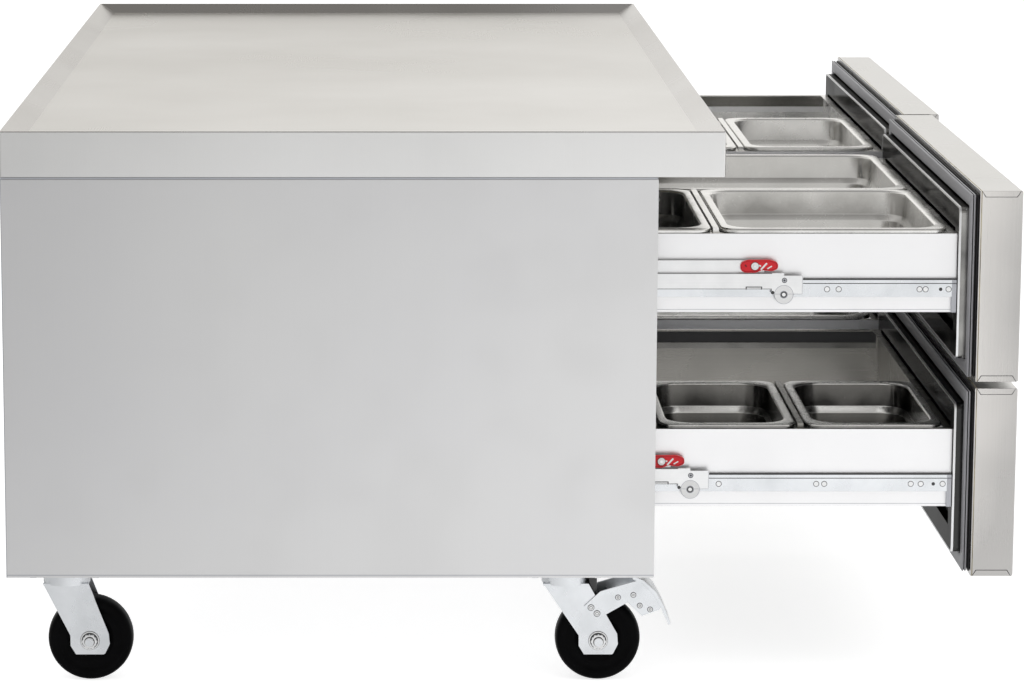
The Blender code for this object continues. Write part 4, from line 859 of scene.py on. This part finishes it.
def pan_profile():
    """Inset, drop and corner radius of each level, from the rolled edge to the floor."""
    rim = [(RIM_LIP[0], RIM_DROP), (0, RIM_DROP - RIM_LIP[1])]
    rim += [(x, -z) for x, z in arc(180, 90, (RIM_ROLL, -RIM_ROLL), RIM_ROLL, 4)]
    flat = RIM_FLAT - RIM_STEP
    wall = [(flat, 0.0)] + [(x, -z) for x, z in arc(90, 5, (flat, -RIM_BEND), RIM_BEND, 4)[1:]]
    wall += [(RIM_FLAT + inset, drop) for inset, drop in SHOULDER_ROWS]
    floor = PAN_DEPTH - PAN_SHEET
    foot = RIM_FLAT + WALL_LEAN
    wall.append((foot, floor - FLOOR_BEND))
    bend = [(x, -z) for x, z in arc(180, 270, (foot + FLOOR_BEND, FLOOR_BEND - floor), FLOOR_BEND, 5)[1:]]
    parts = ((rim, RIM_CORNER), (wall, WALL_CORNER), (bend, FOOT_CORNER))
    return [(inset, drop, corner) for rows, corner in parts for inset, drop in rows]


def make_pan(node_name):
    """A pressed pan in the place of a node."""
    low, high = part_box(node_name)
    half = (high - low) / 2
    profile = pan_profile()
    levels = [(half.x - inset, half.y - inset, corner, high.z - drop) for inset, drop, corner in profile]
    shape = open_sheet(levels, PAN_STEPS, low, high)
    # Faces between rim and shoulder take the second finish and faces below it the third; in the lower pans
    # both are painted shade.
    for face in shape.faces:
        drop = high.z - face.calc_center_median().z
        bright = drop < RIM_DROP / 2 or SHOULDER[0] < drop < SHOULDER[1]
        face.material_index = 0 if bright else 1 if drop < SHOULDER[0] else 2
    looks = PAN_LOOKS[node_name.split("_")[0]]
    thicken(replacement(shape, node_name, "pressed", looks, weigh=False), PAN_SHEET)


for node_name in PANS:
    make_pan(node_name)
print(len(PANS), "pans made")

# %% [markdown]
# ## Drawer fronts
# A front is a steel box filled with foam. The face sheet is folded round the edges, and at the
# corners the folded flanges overlap in a small mitred tab. The seam behind them shows a hairline
# of the foam. Around the back runs a magnetic seal with a soft bellows, so that it can follow an
# uneven frame.

# %% Drawer fronts and seals
FRONT_EDGE = 0.0007
DRAWERS = ("upper_left", "upper_right", "lower_left", "lower_right")
TAB_HEIGHT = 0.0068
TAB_SHEET = 0.0004
TAB_SUNK = 0.0001
TAB_SLANT = 0.0045
TAB_GAP = 0.0006
TAB_EDGE = 0.00015
TAB_MARGINS = (0.0030, 0.0025)
SEAL_EDGE = 0.0008
SEAL_WIDTH = 0.0180
SEAL_FACE = 0.0001
SEAL_CORNER = 0.0006
SEAL_GROOVES = ((-0.0001, 0.0036), (0.0061, 0.0070))
PLUG_FROM = 0.0510
PLUG_EDGE_FROM = 0.0495
PLUG_RECESS = 0.0640
RECESS_WITHIN = 0.0003
PLUG_CORNER = 0.007
PLUG_INSET = 0.0225
PLUG_DEEP = 0.0700
PLUG_SHORTEST = 0.015
TRIM_ROWS = ((-0.0002, -0.0024), (-0.0002, 0.0), (0.0016, 0.0001), (0.0016, -0.0024), (-0.0002, -0.0024))
SEAM_BACK = 0.0027
SEAM_CORNER = 0.0008
SEAM_ROWS = (
    (0.0, 0.0), (-0.0002, 0.0003), (-0.0002, 0.0009), (0.0, 0.0012), (0.0030, 0.0012), (0.0030, 0.0),
    (0.0, 0.0),
)


# %% Tabs, plugs and seals
def end_tab(place_x, toward, deep_low, deep_high, edge_up, inward, spread=0.0, sheet=TAB_SHEET):
    """The mitred tab at the top or bottom of a front's end face, or the dark gap spread round it."""
    tall = TAB_HEIGHT + spread
    low = Vector((place_x - toward * TAB_SUNK, deep_low - spread, min(edge_up, edge_up + inward * tall)))
    high = Vector((place_x + toward * sheet, deep_high + spread, max(edge_up, edge_up + inward * tall)))
    shape = block(low, high, number=3 if spread else 4)
    for vertex in shape.verts:
        if (vertex.co.z - edge_up) * inward > tall / 2:
            vertex.co.y += TAB_SLANT if vertex.co.y < (deep_low + deep_high) / 2 else -TAB_SLANT
    if not spread:
        bevel_edges(shape, list(shape.edges), TAB_EDGE, 1)
    return shape


def front_finish(centre, normal, low, high):
    """Chooses for each face of a drawer front: sheet, the plug's border or its dark recess."""
    behind = centre.y - low.y
    if abs(behind - PLUG_RECESS) < RECESS_WITHIN and normal.y > FACING:
        return 2
    if behind > PLUG_FROM:
        return 1
    if normal.y < -FACING:
        return 5
    # End faces take the darker end steel: painted shade.
    return 4 if abs(normal.x) > FACING else 0


def runs_along(edge, axis):
    """Whether an edge is straight along an axis, given by its number."""
    return abs((edge.verts[0].co - edge.verts[1].co).normalized()[axis]) > SQUARE


def rounded_plug(node_name, low):
    """A copy of a drawer front with the corners of its plug rounded."""
    shape = copy_of(node_name)
    corners = [
        edge for edge in shape.edges
        if min(vertex.co.y for vertex in edge.verts) > low.y + PLUG_EDGE_FROM
        and runs_along(edge, 1) and edge.calc_length() > PLUG_SHORTEST
    ]
    bevel_edges(shape, corners, PLUG_CORNER, 4)
    return shape


def seal_rows(face):
    """The rows of a seal from its foot on the drawer front to the magnet in its face."""
    return (
        (SEAL_WIDTH, 0.0), (SEAL_EDGE + 0.001, 0.0), (SEAL_EDGE, 0.0006), (SEAL_EDGE, 0.0018),
        (0.0042, 0.0024), (0.0046, 0.0034), (0.0012, 0.0042), (0.0006, 0.0052), (0.0010, 0.0060),
        (0.0034, 0.0064), (0.0034, 0.0068), (0.0010, 0.0072), (0.0004, 0.0082), (0.0010, 0.0090),
        (0.0030, face), (0.0150, face), (0.0165, 0.0084), (0.0165, 0.0060), (0.0140, 0.0050),
        (0.0140, 0.0030), (SEAL_WIDTH, 0.0020), (SEAL_WIDTH, 0.0),
    )


def standing(shape, low, high, foot):
    """Stands a flat loft up over the middle of a box: its +Z becomes +Y, and its foot is at a Y."""
    turn = Matrix.Rotation(-math.pi / 2, 4, "X")
    place = Vector(((low.x + high.x) / 2, foot, (low.z + high.z) / 2))
    bmesh.ops.transform(shape, matrix=Matrix.Translation(place) @ turn, verts=shape.verts)
    return shape


# %% Fit the fronts and seals
for name in DRAWERS:
    front, seal, body = f"{name}_drawer_front", f"{name}_drawer_gasket", f"{name}_drawer"
    low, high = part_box(front)
    seal_low, seal_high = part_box(seal)
    half = ((high.x - low.x) / 2, (high.z - low.z) / 2)
    seal_half = ((seal_high.x - seal_low.x) / 2, (seal_high.z - seal_low.z) / 2)
    tabs = []
    for place_x, toward in ((low.x, -1), (high.x, 1)):
        for edge_up, inward in ((low.z, 1), (high.z, -1)):
            span = (place_x, toward, low.y + TAB_MARGINS[0], seal_low.y - TAB_MARGINS[1], edge_up, inward)
            tabs += [end_tab(*span), end_tab(*span, spread=TAB_GAP, sheet=TAB_SHEET / 3)]
    # The lower fronts' plugs take the darker finish: painted shade.
    plug = "plug_steel" if name.startswith("upper") else "plug_dark"
    looks = ["front_steel", plug, "plug_dark", "slot_and_shadow_dark", "end_steel", "face_steel"]
    softened(front, FRONT_EDGE, looks, front_finish, rounded_plug(front, low), tabs)
    trim = ring([side - PLUG_INSET for side in half], TRIM_ROWS, PLUG_CORNER, 4)
    trim = standing(trim, low, high, low.y + PLUG_DEEP)
    piece(trim, f"{name}_plug_trim", ["rail_zinc"], body, weigh=False)
    bellows = ring(seal_half, seal_rows(seal_high.y - seal_low.y - SEAL_FACE), SEAL_CORNER, 1)
    bellows = standing(bellows, seal_low, seal_high, seal_low.y)
    # Faces in the bellows' grooves take a dark finish: painted shade.
    for face in bellows.faces:
        behind = face.calc_center_median().y - seal_low.y
        face.material_index = any(start < behind < end for start, end in SEAL_GROOVES)
    replacement(bellows, seal, "bellows", ["gasket", "seal_groove_shade"], weigh=False)
    seam = standing(ring(half, SEAM_ROWS, SEAM_CORNER, 2), low, high, seal_low.y - SEAM_BACK)
    piece(seam, f"{name}_foam_seam", ["seam_foam"], body, weigh=False)
print("fronts, seals and seams made")

# %% [markdown]
# ## Drawer frames and slides
# The frame is bent from bright zinc-coated sheet. A rail is riveted along each side and runs on a
# nylon roller at the end of the middle member, so a loaded drawer can open by its whole length.
# Heads stand only a quarter of a millimetre proud, because the members pass close by each other.

# %% Frames and rivets
BOX_EDGE = 0.0005
CARRIER_EDGE = 0.0004
RAIL_SIDE = 0.0051
RIVET_RADIUS = 0.0029
RIVET_HEIGHT = 0.00025
RIVET_EDGE = 0.0002
RIM_SHARE = 1.22
HOLE_SHARE = 0.72
RIVET_UP = 0.105
RIVET_DEEPS = {
    "upper": (0.9611, 0.9746, 1.0690, 1.0760, 1.1029),
    "lower": (0.8381, 0.9529, 0.9623, 1.0642, 1.0760, 1.1017),
}
HOLE_DEEP = {"upper": 1.0936, "lower": 1.0907}
WALL_TOP = 0.1700
WALL_INNER = 0.0066
RAIL_COVER = RAIL_SIDE + 0.0001
# Dark strips painted as the shadows along the rails, and darker lines along the hem and the brackets.
RAIL_SHADOWS_AND_HEMS = (
    (0.0048, (0.0006, 0.5610, 0.1160, 0.1171), 0), (RAIL_COVER, (0.0006, 0.5610, 0.1114, 0.1123), 0),
    (0.0001, (0.0006, 0.5610, 0.0800, 0.0806), 1), (RAIL_COVER, (0.0006, 0.0060, 0.0775, 0.1160), 1),
)
# The second strip is a dark sheet painted as the shade under the rim.
WALL_STRIPS = ((0.0012, -0.0259, -0.0178), (0.0003, -0.0178, -0.0016))
STRIP_INSET = 0.004
STRIP_EDGE = 0.0001


# %% Parts of a frame
def rail_rivets(storey, low, high, front_low):
    """The rivet heads along both rails of a drawer, each on a dark ring painted as its shade, and the dark
    hole near each front end.
    """
    opened_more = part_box("upper_left_drawer_front")[0].y - front_low.y
    up = front_low.z + RIVET_UP
    heads, shaded_rings_and_holes = [], []
    for face_x, toward in ((low.x, -1), (high.x, 1)):
        foot_x, axis, hollow = face_x - toward * SUNK, (toward, 0, 0), SUNK + RIVET_HEIGHT / 4
        for deep in RIVET_DEEPS[storey]:
            place = at(foot_x, deep + opened_more, up)
            heads.append(disc_on(place, axis, RIVET_RADIUS, SUNK + RIVET_HEIGHT, edge=RIVET_EDGE))
            # A dark ring round each head: painted shade.
            shaded_rings_and_holes.append(disc_on(place, axis, RIVET_RADIUS * RIM_SHARE, hollow, number=1))
        place = at(foot_x, HOLE_DEEP[storey] + opened_more, up)
        shaded_rings_and_holes.append(disc_on(place, axis, RIVET_RADIUS * HOLE_SHARE, hollow, number=1))
    return joined(heads + shaded_rings_and_holes)


def box_finish(centre, normal, low, high):
    """Chooses for each face of a frame: bright walls outside, the storey's finish inside, zinc rail sides,
    and a dark finish on the rails' top and bottom faces, a painted shadow line.
    """
    from_side = min(centre.x - low.x, high.x - centre.x)
    if from_side < RAIL_SIDE - CLOSE:
        return 3 if abs(normal.z) > FACING else 2
    outside = from_side < RAIL_SIDE + CLOSE or min(centre.y - low.y, high.y - centre.y) < CLOSE
    return 0 if outside else 1


def rail_shadows_and_hems(low, high, bottom):
    """Dark strips painted as the shadows round the rails of a frame, and darker lines along its hemmed lower
    edge and its front brackets.
    """
    shapes = []
    for wall_x, toward in ((low.x + RAIL_SIDE, -1), (high.x - RAIL_SIDE, 1)):
        shapes += [sheet_on(wall_x, toward, proud, (low.y, bottom), *place) for proud, *place in RAIL_SHADOWS_AND_HEMS]
    return joined(shapes)


def wall_strips(low, high, top):
    """The support strip inside each side wall of a frame, and a dark sheet above it: painted shade under the
    rim.
    """
    shapes = []
    for wall_x, toward in ((low.x + WALL_INNER, 1), (high.x - WALL_INNER, -1)):
        for number, (proud, low_z, high_z) in enumerate(WALL_STRIPS):
            span = (STRIP_INSET, high.y - low.y - STRIP_INSET, low_z, high_z)
            shapes.append(sheet_on(wall_x, toward, proud, (low.y, top), span, number, STRIP_EDGE))
    return joined(shapes)


# %% Fit the frames
# The lower frames take darker finishes inside than the upper ones: painted shade from the drawers above.
INNER_LOOKS = {
    "upper": ("pan_steel", ["drawer_box", "inner_shade_steel"]),
    "lower": ("inner_shade_steel", ["pan_shaded", "slot_and_shadow_dark"]),
}
for name in DRAWERS:
    box, body, storey = f"{name}_drawer_box", f"{name}_drawer", name.split("_")[0]
    low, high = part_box(box)
    front_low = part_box(f"{name}_drawer_front")[0]
    inner_look, strip_looks = INNER_LOOKS[storey]
    softened(box, BOX_EDGE, ["drawer_box", inner_look, "zinc", "slot_and_shadow_dark"], box_finish)
    rivets = rail_rivets(storey, low, high, front_low)
    piece(rivets, f"{name}_rail_rivets", ["rail_zinc", "black_steel"], body)
    lines = rail_shadows_and_hems(low, high, front_low.z)
    piece(lines, f"{name}_rail_shadows_and_hems", ["slot_and_shadow_dark", "hem_and_edge_shade_steel"], body, weigh=False)
    strips = wall_strips(low, high, front_low.z + WALL_TOP)
    piece(strips, f"{name}_wall_strips", strip_looks, body)
for side in ("left", "centre", "right"):
    softened(f"slide_carrier_{side}", CARRIER_EDGE, ["rail_zinc"])
print("frames painted and riveted")

# %% [markdown]
# ## Rollers and release levers
# At the front end of every middle member a white nylon roller turns on a steel hub, half hidden by
# the end plate. On the two members that show, a red lever is pressed down to lift the drawer out;
# its outline is moulded with a raised border, and a white washer keeps it on its pin.

# %% Rollers and levers
SLIDE_EDGE = 0.0003
ROLLER_PLACE = (0.0220, 0.0120)
ROLLER_RADIUS = 0.0125
ROLLER_SQUARE = 0.995
# The outermost grey ring is painted shade round the roller's edge.
HUB_DISCS = (
    (0.0112, 0.00005, 3), (0.0106, 0.00009, 2), (0.0046, 0.00012, 3), (0.0038, 0.00015, 1),
    (0.0022, 0.00018, 0),
)
STUD_DISCS = ((0.0031, 0.00006, 1), (0.0023, 0.00010, 3), (0.0012, 0.00014, 1))
END_DISCS = {
    (0.0220, 0.0112): HUB_DISCS, (0.0215, 0.0280): STUD_DISCS, (0.0350, 0.0135): ((0.0020, 0.00008, 1),),
}
LINE_PROUD = 0.0001
# Dark lines painted as the shadows along the member's folds and round its end plate, and the dark outline of
# a notch.
MEMBER_LINES = (
    (0.0362, 0.5550, 0.0357, 0.0364, 1), (0.0362, 0.5550, 0.0176, 0.0182, 1),
    (0.0004, 0.0330, 0.0116, 0.0121, 3), (0.0004, 0.0009, 0.0121, 0.0330, 3),
    (0.0474, 0.0666, 0.0196, 0.0207, 1), (0.0474, 0.0486, 0.0172, 0.0196, 1),
    (0.0654, 0.0666, 0.0172, 0.0196, 1),
)
PIN_PLACE = (0.0, 0.0268, 0.0075)
PIN_ROOM = 0.0060
PIN_DISCS = ((0.0050, 0.0001, 24, 0.0, 3), (0.0044, 0.0003, 24, 0.0001, 1), (0.0016, 0.0005, 16, 0.0, 2))
LEVER_CORNER = 0.0024
LEVER_BORDER = 0.0010
LEVER_STEP = 0.0004
LEVER_SINK = 0.0005
SLOT_STAND = 0.0001
SLOT_SUNK = 0.0008
SLOT_EDGE = 0.00008
LEVER_SLOTS = (
    (0.0165, 0.0072, 0.0105, 0.0010, -48, 1), (0.0098, 0.0060, 0.0062, 0.0007, -30, 1),
    (0.0218, 0.0082, 0.0040, 0.0009, 20, 1), (0.0375, 0.0080, 0.0030, 0.0007, 60, 3),
)


# %% Parts of a slide and a lever
def slide_finish(centre, normal, low, high):
    """Chooses nylon for the faces of the roller and zinc for the rest of a slide member."""
    from_axle = math.hypot(centre.y - low.y - ROLLER_PLACE[0], centre.z - low.z - ROLLER_PLACE[1])
    return 1 if from_axle < ROLLER_RADIUS and abs(normal.z) < ROLLER_SQUARE else 0


def end_fittings(name, side):
    """The hub of the roller, the screw and the stud of a slide member, dark lines painted as shadows along
    its folds and round its end plate, and the dark outline of a notch.
    """
    low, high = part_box(f"{name}_slide_{side}")
    plate_x, toward = (low.x, -1) if side == "left" else (high.x, 1)
    shapes = []
    for (offset_y, offset_z), discs in END_DISCS.items():
        place = Vector((plate_x - toward * SUNK, low.y + offset_y, low.z + offset_z))
        for radius, proud, number in discs:
            shapes.append(disc_on(place, (toward, 0, 0), radius, SUNK + proud, 32, number=number))
    for *span, number in MEMBER_LINES:
        shapes.append(sheet_on(plate_x, toward, LINE_PROUD, (low.y, low.z), span, number))
    return joined(shapes)


def moulded_lever(name):
    """The release lever with a raised border, its washer and the dark end of its pin."""
    node_name = f"{name}_release_lever"
    low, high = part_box(node_name)
    pin = low + Vector(PIN_PLACE)
    shape = copy_of(node_name)
    corners = [
        edge for edge in shape.edges
        if runs_along(edge, 0) and (edge.verts[0].co - pin).yz.length > PIN_ROOM
    ]
    bevel_edges(shape, corners, LEVER_CORNER, 4)
    near = [face for face in shape.faces if face.normal.x < -SQUARE]
    bmesh.ops.inset_region(shape, faces=near, thickness=LEVER_BORDER, use_even_offset=True)
    step = {"thickness": LEVER_STEP, "depth": -LEVER_SINK}
    for face in bmesh.ops.inset_region(shape, faces=near, use_even_offset=True, **step)["faces"]:
        face.material_index = 3
    parts = [shape] + [disc_on(pin, (-1, 0, 0), *sizes) for sizes in PIN_DISCS]
    for offset_y, offset_z, length, half_wide, angle, number in LEVER_SLOTS:
        low_corner = Vector((-SLOT_STAND, -length / 2, -half_wide))
        slot = block(low_corner, Vector((SLOT_SUNK, length / 2, half_wide)), SLOT_EDGE, number)
        place = Matrix.Translation(low + Vector((0, offset_y, offset_z)))
        turn = Matrix.Rotation(math.radians(angle), 4, "X")
        bmesh.ops.transform(slot, matrix=place @ turn, verts=slot.verts)
        parts.append(slot)
    looks = ["red_plastic", "white_nylon", "black_steel", "red_shadow"]
    replacement(joined(parts), node_name, "moulded", looks)


# %% Fit the slides and levers
for name in DRAWERS:
    for side in ("left", "right"):
        slide = f"{name}_slide_{side}"
        softened(slide, SLIDE_EDGE, ["rail_zinc", "white_nylon"], slide_finish)
        looks = ["rail_zinc", "slot_and_shadow_dark", "white_nylon", "hem_and_edge_shade_steel"]
        piece(end_fittings(name, side), f"{slide}_fittings", looks, f"{slide}_member", weigh=False)
for name in ("upper_left", "lower_left"):
    moulded_lever(name)
print("slides and levers made")

# %% [markdown]
# ## Casters
# The wheels are turned shapes: a profile is spun round the axle. A hexagonal nut closes each axle,
# and the brake bracket is held by rivets.

# %% Casters
WHEEL_HALF_PROFILE = (
    (0.0053, 0.0175), (0.0120, 0.0175), (0.0146, 0.0168), (0.0158, 0.0148), (0.0170, 0.0130),
    (0.0255, 0.0126), (0.0275, 0.0134), (0.0300, 0.0138), (0.0322, 0.0130), (0.0360, 0.0132),
    (0.0388, 0.0150), (0.0410, 0.0159), (0.0445, 0.0160), (0.0468, 0.0152), (0.0486, 0.0134),
    (0.0499, 0.0105), (0.0506, 0.0060), (0.0508, 0.0020),
)
AXLE_FACE = 0.0209
AXLE_STEPS = (
    (0.0116, 0.0006, 32, 1), (0.0112, 0.0014, 32, 0), (0.0098, 0.0018, 32, 1), (0.0092, 0.0066, 6, 0),
    (0.0062, 0.0070, 24, 1), (0.0054, 0.0098, 24, 0),
)
HEAD_EDGE = 0.0002
PLATE_BOLT = ((0.0062, 0.0008, 24), (0.0054, 0.0045, 6, 0.0005))
BOLT_INSET = 0.011
PLATE_SHEET = 0.0030
FORK_EDGE = 0.0006
PLATE_EDGE = 0.0005
PEDAL_EDGE = 0.0004
PEDAL_CHEEK = 0.0233
# A dark ring round each head is painted shade.
RIVET_STEPS = ((0.0008, 0.0003, 1), (0.0, 0.0009, 0), (-0.0012, 0.0010, 1), (-0.0018, 0.0011, 0))
BRAKE_RIVETS = (
    (0.0032, 0.690, 0.0918), (0.0032, 0.6972, 0.0846), (0.0026, 0.722, 0.1043), (0.0026, 0.7402, 0.1073),
    (0.0026, 0.7479, 0.0943), (0.0026, 0.7602, 0.0896),
)
FORK_END = 0.0170
STOP_HALF_WIDE = 0.0140
STOP_DEEP = (0.6875, 0.6975)
STOP_UP = (0.1050, 0.1290)
STOP_EDGE = 0.0015


# %% Parts of a caster
def spun(points, centre, steps=64):
    """A closed ring profile of radius and side offset, spun about the X axis through a centre."""
    shape = bmesh.new()
    corners = [shape.verts.new((offset, 0, radius)) for radius, offset in points]
    edges = [shape.edges.new((corners[number - 1], corners[number])) for number in range(len(corners))]
    bmesh.ops.spin(
        shape, geom=corners + edges, cent=(0, 0, 0), axis=(1, 0, 0), angle=2 * math.pi, steps=steps,
        use_merge=True, use_duplicate=False,
    )
    bmesh.ops.remove_doubles(shape, verts=shape.verts, dist=SAME_POINT)
    bmesh.ops.recalc_face_normals(shape, faces=shape.faces)
    bmesh.ops.translate(shape, vec=centre, verts=shape.verts)
    return shape


def middle_of(node_name):
    """The middle of a node's box."""
    low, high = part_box(node_name)
    return (low + high) / 2


def make_wheel(caster):
    """A moulded wheel in the place of a node."""
    far_side = [(radius, -offset) for radius, offset in reversed(WHEEL_HALF_PROFILE)]
    shape = spun([*WHEEL_HALF_PROFILE, *far_side], middle_of(f"{caster}_wheel"))
    replacement(shape, f"{caster}_wheel", "moulded", ["tyre"], weigh=False)


def axle_nuts(caster):
    """The washer, nut and bolt end on both sides of a fork."""
    shapes = []
    for toward in (-1, 1):
        face = middle_of(f"{caster}_wheel") + Vector((toward * AXLE_FACE, 0, 0))
        for radius, height, sides, tone in AXLE_STEPS:
            shapes.append(disc_on(face, (toward, 0, 0), radius, height, sides, HEAD_EDGE, tone))
    return joined(shapes)


def plate_bolts(caster):
    """The four bolt heads under a caster's plate."""
    low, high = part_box(f"{caster}_caster_plate")
    shapes = []
    for x in (low.x + BOLT_INSET, high.x - BOLT_INSET):
        for y in (low.y + BOLT_INSET, high.y - BOLT_INSET):
            place = Vector((x, y, high.z - PLATE_SHEET))
            shapes += [disc_on(place, (0, 0, -1), *sizes) for sizes in PLATE_BOLT]
    return joined(shapes)


def trimmed_fork(caster):
    """A copy of a fork whose rounded lower end is cut off level, as the pressed sheet is."""
    shape = copy_of(f"{caster}_caster_fork")
    cut(shape, (0, 0, middle_of(f"{caster}_wheel").z - FORK_END), (0, 0, 1), clear_inner=True)
    bmesh.ops.holes_fill(shape, edges=[edge for edge in shape.edges if edge.is_boundary], sides=0)
    bmesh.ops.recalc_face_normals(shape, faces=shape.faces)
    return shape


def brake_rivets(caster):
    """The rivet heads on both cheeks of a brake pedal, drawn as rings: a dark one round each head is painted
    shade, and a dark ring inside it circles a light middle.
    """
    centre_x = middle_of(f"{caster}_caster_plate").x
    shapes = []
    for toward in (-1, 1):
        for radius, deep, up in BRAKE_RIVETS:
            place = at(centre_x + toward * (PEDAL_CHEEK - SUNK), deep, up)
            for wider, height, tone in RIVET_STEPS:
                shapes.append(disc_on(place, (toward, 0, 0), radius + wider, height, 24, number=tone))
    return joined(shapes)


def brake_stop(caster):
    """The dark steel stop between the crown of a front fork and its brake pedal."""
    centre_x = middle_of(f"{caster}_caster_plate").x
    near = at(centre_x - STOP_HALF_WIDE, STOP_DEEP[1], STOP_UP[0])
    return block(near, at(centre_x + STOP_HALF_WIDE, STOP_DEEP[0], STOP_UP[1]), STOP_EDGE)


# %% Fit the casters
HEAD_LOOKS = ["rail_zinc", "slot_and_shadow_dark"]
for side in ("left", "right"):
    for caster in (f"rear_{side}", f"front_{side}"):
        make_wheel(caster)
        softened(f"{caster}_caster_fork", FORK_EDGE, ["zinc"], shape=trimmed_fork(caster))
        softened(f"{caster}_caster_plate", PLATE_EDGE, ["zinc"])
        piece(axle_nuts(caster), f"{caster}_axle_nuts", HEAD_LOOKS, f"{caster}_fork")
        piece(plate_bolts(caster), f"{caster}_plate_bolts", ["rail_zinc"], "cabinet")
    softened(f"{caster}_brake_pedal", PEDAL_EDGE, ["zinc"])
    piece(brake_stop(caster), f"{caster}_brake_stop", ["black_steel"], f"{caster}_fork")
    piece(brake_rivets(caster), f"{caster}_brake_rivets", HEAD_LOOKS, f"{caster}_pedal")
print("casters made")

# %% [markdown]
# ## Controls
# Behind a window in the machine bay's front sit a temperature dial and a rocker switch. The dial
# only has a ring of marks, the longer ones at the start, the middle and the end of its travel.

# %% Controls
DIAL_RADIUS = 0.0125
DIAL_STAND = 0.0030
DIAL_DISCS = ((DIAL_RADIUS + 0.0008, 0.0006, 40, 0.0, 1), (DIAL_RADIUS - 0.0030, DIAL_STAND, 40, 0.0006, 0))
DIAL_PLACE = 0.0260
DIAL_ANGLES = [math.radians(-50 + 28 * step) for step in range(11)]
MARK_REACH = (0.0016, 0.0026)
GRIP = ((0.0012, DIAL_RADIUS - 0.0038), DIAL_STAND + 0.0004, 0.0003)
MARK_HALF_WIDE = 0.0003
MARK_STAND = 0.0008
MARK_INSET = 0.0008
SWITCH_AWAY = 0.0380
BEZEL = ((0.0080, 0.0110), 0.0010, 0.0004)
ROCKER = ((0.0060, 0.0090), 0.0022, 0.0006)
ROCKER_TILT = 0.0010


def plate_on(centre, half, proud, edge, number):
    """A small plate on the control panel: its centre, half its width and height, stand and edge."""
    low = Vector((centre.x - half[0], centre.y - proud, centre.z - half[1]))
    return block(low, Vector((centre.x + half[0], centre.y, centre.z + half[1])), edge, number)


# %% Dial and switch
control_low, control_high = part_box("control_box")
dial_centre = Vector((control_low.x + DIAL_PLACE, control_low.y, (control_low.z + control_high.z) / 2))
switch_centre = dial_centre + Vector((SWITCH_AWAY, 0, 0))
controls = [disc_on(dial_centre, (0, -1, 0), *sizes) for sizes in DIAL_DISCS]
controls.append(plate_on(dial_centre, *GRIP, 2))
for number, angle in enumerate(DIAL_ANGLES):
    reach = MARK_REACH[0] if number % 5 else MARK_REACH[1]
    mark = plate_on(Vector((0, 0, 0)), (MARK_HALF_WIDE, reach / 2), MARK_STAND, 0.0, 2)
    turn = Matrix.Rotation(math.pi / 2 - angle, 4, "Y")
    lift = Matrix.Translation((0, 0, DIAL_RADIUS - MARK_INSET))
    bmesh.ops.transform(mark, matrix=Matrix.Translation(dial_centre) @ turn @ lift, verts=mark.verts)
    controls.append(mark)
rocker = plate_on(switch_centre, *ROCKER, 3)
for vertex in rocker.verts:
    if vertex.co.z > switch_centre.z and vertex.co.y < switch_centre.y - ROCKER_TILT:
        vertex.co.y += ROCKER_TILT
controls += [plate_on(switch_centre, *BEZEL, 0), rocker]
control_looks = ["black_plastic", "rail_zinc", "white_nylon", "red_plastic"]
piece(joined(controls), "control_dial_and_switch", control_looks, "cabinet")
print("controls made")

# %% Sizes and finish
low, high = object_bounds()
print("visual box", [round(v, 4) for v in low], [round(v, 4) for v in high])
